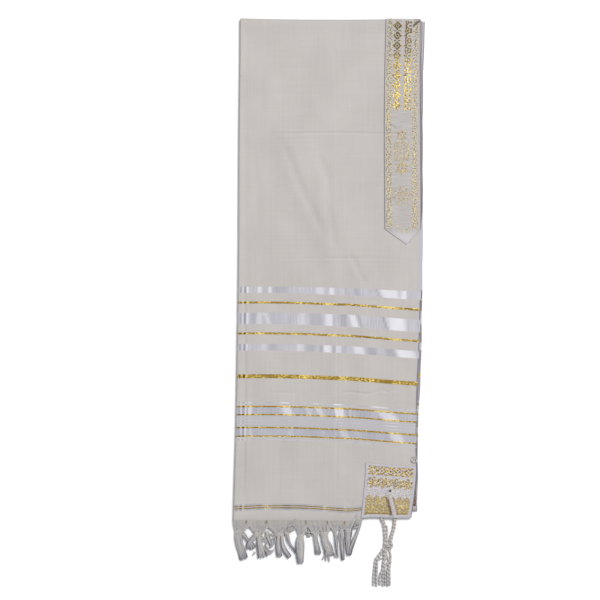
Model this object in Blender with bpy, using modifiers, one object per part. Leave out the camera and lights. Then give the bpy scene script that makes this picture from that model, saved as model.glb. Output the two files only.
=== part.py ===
"""A prayer shawl, folded to a quarter of its size and laid flat with its outer face up.

The woven cloth is folded in half along its length, at the left, and then over at its
middle, at the top. Its four layers end at the hem in knotted fringes. Shapes are worked
out in millimetres, with X across the folded shawl, Y up from the hem to the fold at the
top, and +Z up from the surface that it lies on. Objects are in metres.
"""

import math

import bmesh
import bpy
import numpy as np
from mathutils import Matrix, Vector

MM = 0.001

# The folded cloth: its length, its walls and the gaps between its pieces.
FOLDED_LENGTH = 860.0
CLOTH_WALL = 1.2
TRIM_WALL = 1.0
SEAM_GAP = 0.35

# The stack: the fold at the top turns about the middle of its height.
FOLD_RADIUS = 3.75
PRESSED_HEIGHT = 5.9
TOP_PUFF = 26.0
TUCK_LENGTH = 12.0
TURN_STEPS = 7

# The left fold: a roll of the front layer over a roll of the back layers, both fuller
# towards the hem.
ROLL_RADIUS = 1.8
ROLL_TURN = math.radians(140.0)
ROLL_STEPS = 5
ROLL_PUFF_AT_HEM = 16.0
ROLL_PUFF_AT_TOP = 9.0

# Edges of the stack at a distance up from the hem: the left fold, then the right edges
# of the front layer, of the second layer, and of the two back layers.
EDGES = {
    "columns": ("up", "left", "front", "second", "back"),
    "rows": (
        (0, -163.6, 142.0, 140.8, 151.9),
        (25, -163.0, 145.0, 144.6, 152.0),
        (52, -162.2, 147.6, 148.6, 152.2),
        (94, -161.0, 151.6, 152.4, 153.4),
        (138, -159.6, 150.9, 151.9, 153.0),
        (196, -158.4, 151.5, 152.9, 154.6),
        (250, -157.5, 152.9, 155.0, 157.4),
        (301, -156.7, 155.3, 157.4, 159.2),
        (378, -155.5, 157.9, 159.3, 160.4),
        (464, -154.6, 159.4, 160.6, 161.8),
        (550, -154.3, 158.8, 159.8, 160.6),
        (636, -153.9, 157.7, 159.0, 160.2),
        (722, -153.1, 157.0, 158.4, 160.3),
        (791, -152.2, 156.8, 158.4, 162.2),
        (860, -151.9, 157.4, 160.4, 166.0),
    ),
}

# Across the shawl: how far the weft sags, where each layer's hem lies, and the top fold.
ACROSS = {
    "columns": ("x", "sag", "front_hem", "second_hem", "back_hem", "top_fold"),
    "rows": (
        (-165, 0.0, 0.0, 1.5, 3.0, 2.6),
        (-104, -0.3, 0.0, 2.0, 4.0, 1.0),
        (-50, 0.6, 0.0, 2.5, 5.0, 0.2),
        (6, 2.9, -0.4, 3.5, 6.0, 0.0),
        (40, 4.2, 0.0, 8.0, 8.0, 0.0),
        (62, 5.8, 4.4, 14.0, 14.6, 0.2),
        (106, 9.5, 4.4, 14.2, 15.2, 0.6),
        (166, 13.8, 4.0, 14.2, 15.4, 0.0),
    ),
}
HEM_ROOM = 60.0
SAG_TOP = 500.0
SAG_RUN = 150.0
TOP_ROOM = 240.0

# Soft folds that stand over the pressed cloth, each a ridge between two points.
FOLDS = {
    "columns": ("top_x", "top_y", "foot_x", "foot_y", "half_width", "height"),
    "rows": (
        (-88, 680, -18, 500, 18, 1.8),
        (-18, 500, 8, 425, 16, 1.9),
        (-36, 650, 2, 520, 16, 1.8),
        (2, 520, 13, 430, 14, 2.2),
        (13, 430, 14, 70, 13, 1.7),
        (30, 480, 60, 395, 14, 1.7),
        (60, 395, 52, 120, 20, 1.8),
        (112, 415, 116, 120, 22, 2.0),
        (-116, 400, -112, 60, 24, 1.6),
        (-60, 330, -58, 90, 20, 1.3),
    ),
}
FOLD_ENDS = 45.0

# The corner patch lifts in a pleat between its eyelet and the hem, over a tassel cord.
PLEAT = {"top_x": 105.6, "top_y": 52.0, "foot_x": 114.0, "foot_y": 0.0, "half_width": 7.0, "height": 2.4}

# Neckband: its edges at a distance up from the hem, and its point.
BAND = {
    "columns": ("up", "left", "right"),
    "rows": (
        (480, 96.3, 158.0),
        (500, 96.3, 158.0),
        (596, 94.4, 156.2),
        (690, 92.0, 154.4),
        (784, 93.7, 154.6),
        (860, 98.2, 155.4),
    ),
}
BAND_SHOULDER = 500.0
BAND_POINT = 25.5
BAND_POINT_ROOM = 110.0
BAND_POINT_SHARE = 0.6
BAND_TURN_STEPS = 5

# Corner patch: its edges as shares of the front layer's width, and its height.
PATCH_LEFT = 0.717
PATCH_RIGHT = 0.994
PATCH_HEIGHT = 104.5
TRIM_BLEND = 300.0

# The mesh of the front layer: columns of cloth, of trim and of selvage.
ROW_STEP = 30.0
CLOTH_COLUMNS = 15
TRIM_COLUMNS = 10

# The hidden layers are one solid, parted into layers near its free edges.
PART_DEPTH = 14.0
LAYERS = {
    "columns": ("edge", "hem", "top", "inset"),
    "rows": (
        ("second", "second_hem", 4.35, 0.0),
        ("back", "back_hem", 2.80, 0.0),
        ("back", "back_hem", 1.20, 1.0),
    ),
}
CORE_TOP = 3.9
CORE_WALL = 3.3
TOP_ROLL_RADIUS = 1.4
TOP_ROLL_HEIGHT = 2.95

# The strip of a lower layer's corner patch that shows beyond the right edge.
UNDER_PATCH = {"low": 13.0, "high": 65.0, "room": 1.0, "rows": 4}

# Fringes: each bundle gathers a stretch of the hem in a knot and hangs on in locks.
# Drops are measured down from the hem's line.
BUNDLE = ("hem_left", "hem_right", "knot_x", "knot_drop", "foot_x", "foot_drop", "foot_width", "locks")
FRONT_BUNDLES = (
    (-163.0, -142.0, -155.5, 20.0, -145.0, 68.0, 16.5, 4),
    (-141.4, -107.8, -119.0, 25.0, -111.5, 62.0, 17.5, 4),
    (-107.2, -72.0, -83.5, 24.0, -84.0, 62.0, 12.5, 3),
    (-71.4, -56.0, -70.0, 20.0, -62.5, 59.0, 8.5, 2),
    (-55.4, -38.0, -46.8, 25.0, -46.5, 73.0, 15.5, 4),
    (-37.4, -14.5, -21.0, 22.5, -18.0, 58.0, 11.5, 3),
    (-13.9, 0.2, -9.0, 24.0, -3.8, 69.0, 12.5, 3),
    (0.8, 14.0, 12.2, 22.0, 14.0, 62.0, 6.5, 2),
    (14.6, 24.0, 22.0, 18.5, 24.2, 69.5, 6.8, 2),
    (24.6, 40.0, 31.0, 20.0, 33.0, 60.0, 6.4, 2),
    (40.6, 56.5, 48.5, 14.0, 42.6, 60.5, 6.8, 2),
)
BACK_BUNDLES = (
    (-158.0, -118.0, -134.6, 30.0, -132.0, 53.0, 8.0, 2),
    (-117.4, -78.0, -99.0, 28.0, -97.6, 60.0, 7.5, 2),
    (-77.4, -14.0, -33.5, 26.0, -32.2, 46.0, 6.0, 2),
    (-13.4, 34.0, 4.0, 28.0, 5.8, 64.0, 6.2, 2),
)
ROWS = {
    "columns": ("strip_z", "knot_z", "strip_wall", "knot_wall", "lock_wall"),
    "front": (5.30, 3.60, 1.2, 2.5, 2.2),
    "back": (0.95, 1.10, 1.2, 1.4, 1.3),
}
STRIP_DEPTH = 3.5
KNOT_WIDTH = 5.4
KNOT_NECK = 0.72
KNOT_LENGTH = 5.0
GATHER_GAP = 0.12
FOOT_ROUND = 1.2
LOCK_FILL = 0.84
LOCK_STEPS = 3
LOCK_TAPER = 0.16

# The corner tassel: two cords from under the patch meet in a knot and part into strands.
KNOT_BLOCK = {"left": 94.6, "right": 109.6, "top": -40.0, "foot": -49.0, "low": 0.6, "high": 4.3}
CORDS = {
    "columns": ("first_cell", "x_at_middle", "x_at_hem"),
    "rows": ((1, 97.0, 91.5), (4, 110.5, 112.6)),
}
CORD_WIDTH = 4.6
CORD_WALL = 3.5
CORD_HEIGHT = 2.5
CORD_MIDDLE = -20.0
CORD_END = 13.3
STRANDS = {
    "columns": ("x_at_first", "x_at_second", "x_at_third", "x_at_foot", "foot"),
    "rows": (
        (85.6, 79.4, 77.6, 76.6, -113.5),
        (89.4, 83.6, 82.2, 82.2, -115.0),
        (95.0, 91.4, 89.2, 88.0, -112.0),
        (98.4, 95.8, 94.0, 93.4, -115.0),
        (101.6, 99.8, 98.4, 97.6, -113.0),
        (104.8, 103.4, 102.0, 101.6, -115.0),
        (108.2, 107.4, 106.0, 105.6, -112.5),
    ),
}
STRAND_PLACES = (-60.0, -75.0, -92.0)
STRAND_WIDTH = 2.3
STRAND_WALL = 2.2
STRAND_HEIGHT = 1.65

FINISHES = {
    "cloth": {"colour": (0.56, 0.53, 0.50), "roughness": 0.85, "metallic": 0.0},
    "under_layers": {"colour": (0.50, 0.47, 0.45), "roughness": 0.88, "metallic": 0.0},
    "brocade": {"colour": (0.66, 0.58, 0.42), "roughness": 0.45, "metallic": 0.2},
    "patch_satin": {"colour": (0.72, 0.68, 0.66), "roughness": 0.40, "metallic": 0.1},
    "fringe_yarn": {"colour": (0.58, 0.55, 0.51), "roughness": 0.90, "metallic": 0.0},
    "cord_yarn": {"colour": (0.66, 0.63, 0.60), "roughness": 0.85, "metallic": 0.0},
}


def ease(share):
    """Goes from 0 to 1 with level ends."""
    share = min(max(share, 0.0), 1.0)
    return share * share * (3.0 - 2.0 * share)


def mix(start, end, share):
    return start + (end - start) * share


def named_rows(table):
    """Each row of a table as a dictionary."""
    return [dict(zip(table["columns"], row)) for row in table["rows"]]


def read_curve(table, name, at):
    """The named column on a smooth curve, at a value of the table's first column."""
    rows = np.array(table["rows"], float)
    places = rows[:, 0]
    values = rows[:, table["columns"].index(name)]
    slopes = np.gradient(values, places)
    at = min(max(at, places[0]), places[-1])
    k = min(int(np.searchsorted(places, at, side="right")) - 1, len(places) - 2)
    span = places[k + 1] - places[k]
    s = (at - places[k]) / span
    start = (1 + 2 * s) * (1 - s) ** 2 * values[k] + s * (1 - s) ** 2 * span * slopes[k]
    end = s * s * (3 - 2 * s) * values[k + 1] + s * s * (s - 1) * span * slopes[k + 1]
    return float(start + end)


def top_line(x):
    """Where the fold at the top begins to turn."""
    return FOLDED_LENGTH - FOLD_RADIUS + read_curve(ACROSS, "top_fold", x)


def weft_y(x, up, hem):
    """Place of the weft thread that lies this far up from a layer's hem."""
    sag = read_curve(ACROSS, "sag", x) * ease(up / HEM_ROOM) * ease((SAG_TOP - up) / SAG_RUN)
    from_hem = read_curve(ACROSS, hem, x) * (1.0 - ease(up / HEM_ROOM))
    from_top = read_curve(ACROSS, "top_fold", x) * ease((up - FOLDED_LENGTH + TOP_ROOM) / TOP_ROOM)
    return up - sag + from_hem + from_top


def fold_rise(x, y):
    """Height of the soft folds over the pressed cloth at a place."""
    rise = 0.0
    for fold in named_rows(FOLDS):
        run_x = fold["foot_x"] - fold["top_x"]
        run_y = fold["foot_y"] - fold["top_y"]
        length = math.hypot(run_x, run_y)
        along = ((x - fold["top_x"]) * run_x + (y - fold["top_y"]) * run_y) / length
        aside = ((x - fold["top_x"]) * run_y - (y - fold["top_y"]) * run_x) / length
        start = ease((along + FOLD_ENDS) / (2 * FOLD_ENDS))
        end = ease((length - along + FOLD_ENDS) / (2 * FOLD_ENDS))
        rise += fold["height"] * start * end * math.exp(-((aside / fold["half_width"]) ** 2))
    return rise


def pleat_rise(x, y):
    """Height of the corner patch's pleat, which fades out at the eyelet."""
    along = (y - PLEAT["top_y"]) / (PLEAT["foot_y"] - PLEAT["top_y"])
    aside = x - mix(PLEAT["top_x"], PLEAT["foot_x"], min(max(along, 0.0), 1.0))
    return PLEAT["height"] * ease(2.5 * along + 0.5) * math.exp(-((aside / PLEAT["half_width"]) ** 2))


def front_height(x, y, left):
    """Height of the front layer's outer face: it springs up at the left and top folds."""
    puff_width = mix(ROLL_PUFF_AT_HEM, ROLL_PUFF_AT_TOP, ease(y / FOLDED_LENGTH))
    at_left = 1.0 - ease((x - left - ROLL_RADIUS) / puff_width)
    at_top = 1.0 - ease((top_line(x) - y) / TOP_PUFF)
    puff = max(at_left, at_top)
    pressed = PRESSED_HEIGHT + fold_rise(x, y) + pleat_rise(x, y)
    return mix(pressed, 2 * FOLD_RADIUS, puff)


def filled(landmarks, step):
    """The landmarks with even steps, none longer than step, between them."""
    places = [landmarks[0]]
    for low, high in zip(landmarks, landmarks[1:]):
        count = max(1, math.ceil((high - low) / step - 1e-6))
        places += [mix(low, high, (k + 1) / count) for k in range(count)]
    return places


def trim_edges(up):
    """Left and right edges of the trim: the patch's near the hem, the neckband's above."""
    left = read_curve(EDGES, "left", up)
    width = read_curve(EDGES, "front", up) - left
    share = ease((up - PATCH_HEIGHT) / TRIM_BLEND)
    low = mix(left + PATCH_LEFT * width, read_curve(BAND, "left", up), share)
    high = mix(left + PATCH_RIGHT * width, read_curve(BAND, "right", up), share)
    return low, high


def columns_at(up):
    """Places across the front layer, from the left roll to the right edge."""
    roll = read_curve(EDGES, "left", up) + ROLL_RADIUS
    low, high = trim_edges(up)
    cloth = [mix(roll, low, k / CLOTH_COLUMNS) for k in range(CLOTH_COLUMNS)]
    trim = [mix(low, high, k / TRIM_COLUMNS) for k in range(TRIM_COLUMNS)]
    return cloth + trim + [high, read_curve(EDGES, "front", up)]


def point_dip(k, up):
    """How far a row dips, at a column of the trim, to follow the neckband's point."""
    share = k / TRIM_COLUMNS
    if not 0.0 <= share <= 1.0:
        return 0.0
    side = share / BAND_POINT_SHARE if share < BAND_POINT_SHARE else (1.0 - share) / (1.0 - BAND_POINT_SHARE)
    return BAND_POINT * side * max(0.0, 1.0 - abs(up - BAND_SHOULDER) / BAND_POINT_ROOM)


def turned(x, height, angle):
    """A point over the middle of the stack, carried round the fold at the top."""
    middle = FOLD_RADIUS
    out = height - middle
    return (x, top_line(x) + out * math.sin(angle), middle + out * math.cos(angle))


def roll_points(left, place):
    """The front layer's curl round the left roll, from beneath up to its crown."""
    centre = left + ROLL_RADIUS
    height = 2 * FOLD_RADIUS - ROLL_RADIUS
    points = []
    for step in range(ROLL_STEPS):
        angle = ROLL_TURN * (1.0 - step / ROLL_STEPS)
        x = centre - ROLL_RADIUS * math.sin(angle)
        points.append(place(x, height + ROLL_RADIUS * math.cos(angle)))
    return points


def flat_row(up):
    """A row of the front layer's outer face where it lies flat."""
    left = read_curve(EDGES, "left", up)
    row = roll_points(left, lambda x, height: (x, weft_y(x, up, "front_hem"), height))
    for k, x in enumerate(columns_at(up)):
        y = weft_y(x, up - point_dip(k - CLOTH_COLUMNS, up), "front_hem")
        row.append((x, y, front_height(x, y, left)))
    return row


def turned_row(angle):
    """A row of the front layer's outer face on the fold at the top."""
    left = read_curve(EDGES, "left", FOLDED_LENGTH)
    row = roll_points(left, lambda x, height: turned(x, height, angle))
    return row + [turned(x, 2 * FOLD_RADIUS, angle) for x in columns_at(FOLDED_LENGTH)]


def front_rows():
    """The front layer's outer face from its hem, over the top and under the stack."""
    ups = filled((0.0, PATCH_HEIGHT, BAND_SHOULDER, FOLDED_LENGTH - FOLD_RADIUS), ROW_STEP)
    rows = [flat_row(up) for up in ups]
    rows += [turned_row(math.pi * (k + 1) / TURN_STEPS) for k in range(TURN_STEPS)]
    rows.append([(x, y - TUCK_LENGTH, z) for x, y, z in rows[-1]])
    return ups, rows


def raised(point, angle):
    """A point of the front layer moved out to the outer face of a trim that lies on it."""
    lift = SEAM_GAP + TRIM_WALL
    x, y, z = point
    return (x, y + lift * math.sin(angle), z + lift * math.cos(angle))


def material_of(slot):
    finish = FINISHES[slot]
    material = bpy.data.materials.get(slot) or bpy.data.materials.new(slot)
    material.use_nodes = True
    shader = material.node_tree.nodes["Principled BSDF"]
    shader.inputs["Base Color"].default_value = (*finish["colour"], 1.0)
    shader.inputs["Roughness"].default_value = finish["roughness"]
    shader.inputs["Metallic"].default_value = finish["metallic"]
    return material


def new_collection(name):
    collection = bpy.data.collections.new(name)
    bpy.context.scene.collection.children.link(collection)
    return collection


def finish_object(name, bm, slot, collection):
    """Turns a bmesh in millimetres into a named object in metres."""
    bmesh.ops.scale(bm, vec=(MM, MM, MM), verts=bm.verts)
    mesh = bpy.data.meshes.new(name)
    bm.to_mesh(mesh)
    bm.free()
    obj = bpy.data.objects.new(name, mesh)
    obj.data.materials.append(material_of(slot))
    collection.objects.link(obj)
    return obj


def sheet(name, rows, wall, slot, collection):
    """A sheet whose outer face runs through a grid of points, thickened inwards."""
    bm = bmesh.new()
    columns = len(rows[0])
    bmesh.ops.create_grid(bm, x_segments=columns - 1, y_segments=len(rows) - 1, size=0.5)
    for vertex in bm.verts:
        i = round((vertex.co.x + 0.5) * (columns - 1))
        j = round((vertex.co.y + 0.5) * (len(rows) - 1))
        vertex.co = Vector(rows[j][i])
    obj = finish_object(name, bm, slot, collection)
    solidify = obj.modifiers.new("Wall", "SOLIDIFY")
    solidify.thickness = wall * MM
    solidify.offset = -1.0
    return obj


def front_panel(rows, collection):
    return sheet("front_panel", rows, CLOTH_WALL, "cloth", collection)


def neckband(ups, rows, collection):
    """The band on the front layer, from its point over the fold at the top."""
    first = ROLL_STEPS + CLOTH_COLUMNS
    start = ups.index(BAND_SHOULDER)
    places = []
    for j in range(start, len(ups) + BAND_TURN_STEPS):
        angle = math.pi * max(0, j - len(ups) + 1) / TURN_STEPS
        places.append([raised(point, angle) for point in rows[j][first:first + TRIM_COLUMNS + 1]])
    return sheet("neckband", places, TRIM_WALL, "brocade", collection)


def corner_patch(ups, rows, collection):
    """The square patch on the front layer's lower right corner."""
    first = ROLL_STEPS + CLOTH_COLUMNS
    stop = ups.index(PATCH_HEIGHT) + 1
    places = [[raised(point, 0.0) for point in row[first:first + TRIM_COLUMNS + 1]] for row in rows[:stop]]
    return sheet("corner_patch", places, TRIM_WALL, "patch_satin", collection)


def under_patch(collection):
    """The edge of the patch on a back layer, which shows beyond the right edge."""
    back_top = LAYERS["rows"][1][2]
    lift = back_top + SEAM_GAP + TRIM_WALL
    places = []
    for k in range(UNDER_PATCH["rows"] + 1):
        up = mix(UNDER_PATCH["low"], UNDER_PATCH["high"], k / UNDER_PATCH["rows"])
        low = read_curve(EDGES, "second", up) + UNDER_PATCH["room"]
        high = read_curve(EDGES, "back", up) - UNDER_PATCH["room"]
        places.append([(x, weft_y(x, up, "back_hem"), lift) for x in (low, high)])
    return sheet("corner_patch_under", places, TRIM_WALL, "patch_satin", collection)


def layer_rows(layer, room, top):
    """A flat grid over one hidden layer, drawn in by room at the hem and right edge."""
    last = FOLDED_LENGTH - FOLD_RADIUS - TUCK_LENGTH - SEAM_GAP
    places = []
    for up in filled((0.0, PATCH_HEIGHT / 2, PATCH_HEIGHT, last), ROW_STEP):
        low = read_curve(EDGES, "left", up) + ROLL_RADIUS + SEAM_GAP
        high = read_curve(EDGES, layer["edge"], up) - layer["inset"] - room
        row = []
        for k in range(CLOTH_COLUMNS + 1):
            x = mix(low, high, k / CLOTH_COLUMNS)
            hem_room = (layer["inset"] + room) * (1.0 - ease(up / PATCH_HEIGHT))
            row.append((x, weft_y(x, up, layer["hem"]) + hem_room, top))
        places.append(row)
    return places


def tube(name, points, radius, collection):
    """A round solid along points, as a mesh."""
    curve = bpy.data.curves.new(name, "CURVE")
    curve.dimensions = "3D"
    curve.bevel_depth = radius * MM
    curve.bevel_resolution = 2
    curve.use_fill_caps = True
    spline = curve.splines.new("POLY")
    spline.points.add(len(points) - 1)
    for place, point in zip(spline.points, points):
        place.co = (*(Vector(point) * MM), 1.0)
    guide = bpy.data.objects.new(name + "_curve", curve)
    collection.objects.link(guide)
    evaluated = guide.evaluated_get(bpy.context.evaluated_depsgraph_get())
    mesh = bpy.data.meshes.new_from_object(evaluated)
    bpy.data.objects.remove(guide)
    bm = bmesh.new()
    bm.from_mesh(mesh)
    bmesh.ops.remove_doubles(bm, verts=bm.verts, dist=1e-6)
    bmesh.ops.recalc_face_normals(bm, faces=bm.faces)
    bm.to_mesh(mesh)
    bm.free()
    obj = bpy.data.objects.new(name, mesh)
    collection.objects.link(obj)
    return obj


def folded_layers(collection, tools):
    """The second, third and last layers, fused but for their hems and right edges."""
    second, third, last = named_rows(LAYERS)
    body = sheet("folded_layers", layer_rows(second, 0.0, second["top"]), CLOTH_WALL, "under_layers", collection)
    joined = [
        sheet("third_layer", layer_rows(third, 0.0, third["top"]), CLOTH_WALL, "under_layers", tools),
        sheet("last_layer", layer_rows(last, 0.0, last["top"]), CLOTH_WALL, "under_layers", tools),
        sheet("core", layer_rows(second, PART_DEPTH, CORE_TOP), CORE_WALL, "under_layers", tools),
        tube("left_roll", left_roll_points(), ROLL_RADIUS, tools),
        sheet("top_block", top_block_rows(), 2 * TOP_ROLL_RADIUS, "under_layers", tools),
        tube("top_roll", top_roll_points(), TOP_ROLL_RADIUS - 0.01, tools),
    ]
    join(body, joined)
    return body


def join(body, parts):
    """Makes one closed solid of a body and the parts that reach into it."""
    for part in parts:
        part.hide_render = True
        part.display_type = "WIRE"
        union = body.modifiers.new("Join " + part.name, "BOOLEAN")
        union.operation = "UNION"
        union.object = part


def left_roll_points():
    """The middle of the back layers' roll at the left fold."""
    last = FOLDED_LENGTH - FOLD_RADIUS - TUCK_LENGTH - SEAM_GAP
    points = []
    for up in filled((0.0, last), 2 * ROW_STEP):
        x = read_curve(EDGES, "left", up) + ROLL_RADIUS
        points.append((x, weft_y(x, up, "back_hem"), ROLL_RADIUS))
    return points


def top_roll_points():
    """The middle of the hidden layers' roll inside the fold at the top."""
    low = read_curve(EDGES, "left", FOLDED_LENGTH) + ROLL_RADIUS + SEAM_GAP
    high = read_curve(EDGES, "front", FOLDED_LENGTH)
    return [(x, top_line(x), TOP_ROLL_HEIGHT) for x in filled((low, high), 2 * ROW_STEP)]


def top_block_rows():
    """The hidden layers over the front layer's tucked end."""
    ends = [(x, y) for x, y, z in top_roll_points()]
    height = TOP_ROLL_HEIGHT + TOP_ROLL_RADIUS - 0.005
    back = TUCK_LENGTH + 2 * ROW_STEP
    return [[(x, y - drop, height) for x, y in ends] for drop in (back, back / 2, 0.0)]


def block(low, high):
    """A box between two corners."""
    bm = bmesh.new()
    size = Vector(high) - Vector(low)
    middle = (Vector(high) + Vector(low)) / 2
    bmesh.ops.create_cube(bm, size=1.0, matrix=Matrix.Translation(middle) @ Matrix.Diagonal((*size, 1.0)))
    return bm


def cut_across(bm, places):
    """Cuts a body into cells at places along X."""
    for x in places:
        everything = [*bm.verts, *bm.edges, *bm.faces]
        bmesh.ops.bisect_plane(bm, geom=everything, plane_co=(x, 0, 0), plane_no=(1, 0, 0), dist=1e-4)


def end_faces(bm, left, right, y, direction=-1):
    """The cells' end faces near a height along Y, between two places along X."""
    bm.normal_update()
    faces = []
    for face in bm.faces:
        middle = face.calc_center_median()
        near = abs(middle.y - y) < STRIP_DEPTH / 2
        if near and face.normal.y * direction > 0.9 and left < middle.x < right:
            faces.append(face)
    return sorted(faces, key=lambda face: face.calc_center_median().x)


def draw_out(bm, faces, borders, y, z, wall):
    """Extrudes a row of faces to a level row of borders along X."""
    made = bmesh.ops.extrude_face_region(bm, geom=faces)
    bmesh.ops.delete(bm, geom=faces, context="FACES")
    faces = [element for element in made["geom"] if isinstance(element, bmesh.types.BMFace)]
    corners = {vertex for face in faces for vertex in face.verts}
    corners = sorted(corners, key=lambda vertex: (round(vertex.co.x, 3), vertex.co.z))
    for k, x in enumerate(borders):
        corners[2 * k].co = (x, y, z - wall / 2)
        corners[2 * k + 1].co = (x, y, z + wall / 2)
    return sorted(faces, key=lambda face: face.calc_center_median().x)


def borders_of(middle, width, cells):
    return [middle + width * (k / cells - 0.5) for k in range(cells + 1)]


def gather(bm, bundle, faces, row):
    """Draws part of the strip's edge together, cell by cell, into the bundle's knot."""
    neck = borders_of(bundle["knot_x"], KNOT_NECK * KNOT_WIDTH, bundle["locks"])
    wall = KNOT_NECK ** 2 * row["knot_wall"]
    for face, low, high in zip(faces, neck, neck[1:]):
        borders = (low + GATHER_GAP, high - GATHER_GAP)
        draw_out(bm, [face], borders, -bundle["knot_drop"], row["knot_z"], wall)


def knot_and_locks(bundle, row):
    """One bundle's knot, with the locks that hang from it."""
    cells = bundle["locks"]
    knot_y = -bundle["knot_drop"]
    wide = borders_of(bundle["knot_x"], KNOT_WIDTH, cells)
    neck = borders_of(bundle["knot_x"], KNOT_NECK * KNOT_WIDTH, cells)
    half = row["knot_wall"] / 2
    low = (wide[0], knot_y, row["knot_z"] - half)
    bm = block(low, (wide[-1], knot_y + KNOT_LENGTH / 2, row["knot_z"] + half))
    cut_across(bm, wide[1:-1])
    for vertex in bm.verts:
        if vertex.co.y > knot_y + 1.0:
            vertex.co.x = mix(bundle["knot_x"], vertex.co.x, KNOT_NECK)
            vertex.co.z = mix(row["knot_z"], vertex.co.z, KNOT_NECK)
    faces = end_faces(bm, wide[0], wide[-1], knot_y)
    foot_y = knot_y - KNOT_LENGTH / 2
    faces = draw_out(bm, faces, neck, foot_y, row["knot_z"], KNOT_NECK * row["knot_wall"])
    pitch = bundle["foot_width"] / cells
    cell = neck[1] - neck[0]
    for k, face in enumerate(faces):
        place = k + 0.5 - cells / 2
        for step in range(1, LOCK_STEPS + 1):
            share = step / LOCK_STEPS
            spacing = mix(cell, pitch, share ** 0.8)
            x = mix(bundle["knot_x"], bundle["foot_x"], share ** 0.8) + place * spacing
            y = mix(foot_y, -bundle["foot_drop"] + abs(place) * FOOT_ROUND, share)
            half = spacing * (LOCK_FILL - LOCK_TAPER * share) / 2
            face = draw_out(bm, [face], (x - half, x + half), y, row["knot_z"], row["lock_wall"])[0]
    return bm


def fringe(name, bundles, row, hem, collection, tools):
    """A row of knotted bundles on a narrow strip just below a hem."""
    row = dict(zip(ROWS["columns"], row))
    bundles = [dict(zip(BUNDLE, bundle)) for bundle in bundles]
    low = row["strip_z"] - row["strip_wall"] / 2
    bm = block((bundles[0]["hem_left"], 0.0, low), (bundles[-1]["hem_right"], 1.0, low + row["strip_wall"]))
    for bundle in bundles:
        span = bundle["hem_right"] - bundle["hem_left"]
        cut_across(bm, [bundle["hem_left"] + span * k / bundle["locks"] for k in range(bundle["locks"] + 1)])
    for vertex in bm.verts:
        vertex.co.y = read_curve(ACROSS, hem, vertex.co.x) - SEAM_GAP - STRIP_DEPTH * (1.0 - vertex.co.y)
    knots = bmesh.new()
    held = []
    for bundle in bundles:
        y = read_curve(ACROSS, hem, (bundle["hem_left"] + bundle["hem_right"]) / 2) - SEAM_GAP - STRIP_DEPTH
        held.append(end_faces(bm, bundle["hem_left"], bundle["hem_right"], y))
    for bundle, faces in zip(bundles, held):
        gather(bm, bundle, faces, row)
        piece = knot_and_locks(bundle, row)
        mesh = bpy.data.meshes.new("bundle")
        piece.to_mesh(mesh)
        piece.free()
        knots.from_mesh(mesh)
        bpy.data.meshes.remove(mesh)
    strip = finish_object(name, bm, "fringe_yarn", collection)
    join(strip, [finish_object(name + "_knots", knots, "fringe_yarn", tools)])
    return strip


def tzitzit(collection):
    """The corner tassel: two cords, the knot that they meet in, and its strands."""
    knot = KNOT_BLOCK
    strands = named_rows(STRANDS)
    cells = len(strands)
    bm = block((knot["left"], knot["foot"], knot["low"]), (knot["right"], knot["top"], knot["high"]))
    cell = (knot["right"] - knot["left"]) / cells
    cut_across(bm, [knot["left"] + cell * k for k in range(1, cells)])
    held = end_faces(bm, knot["left"], knot["right"], knot["foot"])
    for cord in named_rows(CORDS):
        left = knot["left"] + cell * cord["first_cell"]
        faces = end_faces(bm, left, left + 2 * cell, knot["top"], 1)
        for x, y in ((cord["x_at_middle"], CORD_MIDDLE), (cord["x_at_hem"], 0.0), (cord["x_at_hem"], CORD_END)):
            faces = draw_out(bm, faces, borders_of(x, CORD_WIDTH, 2), y, CORD_HEIGHT, CORD_WALL)
    for face, strand in zip(held, strands):
        names = ("x_at_first", "x_at_second", "x_at_third", "x_at_foot")
        for name, y in zip(names, (*STRAND_PLACES, strand["foot"])):
            x = strand[name]
            borders = (x - STRAND_WIDTH / 2, x + STRAND_WIDTH / 2)
            face = draw_out(bm, [face], borders, y, STRAND_HEIGHT, STRAND_WALL)[0]
    return finish_object("tzitzit", bm, "cord_yarn", collection)


def centre_on_floor(objects):
    """Moves the pieces so that the middle of their box's underside is the origin."""
    depsgraph = bpy.context.evaluated_depsgraph_get()
    corners = []
    for obj in objects:
        evaluated = obj.evaluated_get(depsgraph)
        corners += [Vector(corner) for corner in evaluated.bound_box]
    low = Vector([min(corner[axis] for corner in corners) for axis in range(3)])
    high = Vector([max(corner[axis] for corner in corners) for axis in range(3)])
    shift = Vector((-(low.x + high.x) / 2, -(low.y + high.y) / 2, -low.z))
    for obj in bpy.data.objects:
        obj.data.transform(Matrix.Translation(shift))


def main():
    for obj in list(bpy.data.objects):
        bpy.data.objects.remove(obj)
    shawl = new_collection("prayer_shawl")
    tools = new_collection("joined_pieces")
    ups, rows = front_rows()
    pieces = [
        front_panel(rows, shawl),
        folded_layers(shawl, tools),
        neckband(ups, rows, shawl),
        corner_patch(ups, rows, shawl),
        under_patch(shawl),
        fringe("fringe_front", FRONT_BUNDLES, ROWS["front"], "front_hem", shawl, tools),
        fringe("fringe_under", BACK_BUNDLES, ROWS["back"], "back_hem", shawl, tools),
        tzitzit(shawl),
    ]
    centre_on_floor(pieces)


main()
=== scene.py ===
"""The looks of a folded prayer shawl, laid flat on a pale floor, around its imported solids.

Places are worked out in millimetres, as in the solids: X across the folded shawl from its
middle, Y up from the front hem to the fold at the top, +Z up from the floor.
"""
import math

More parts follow.
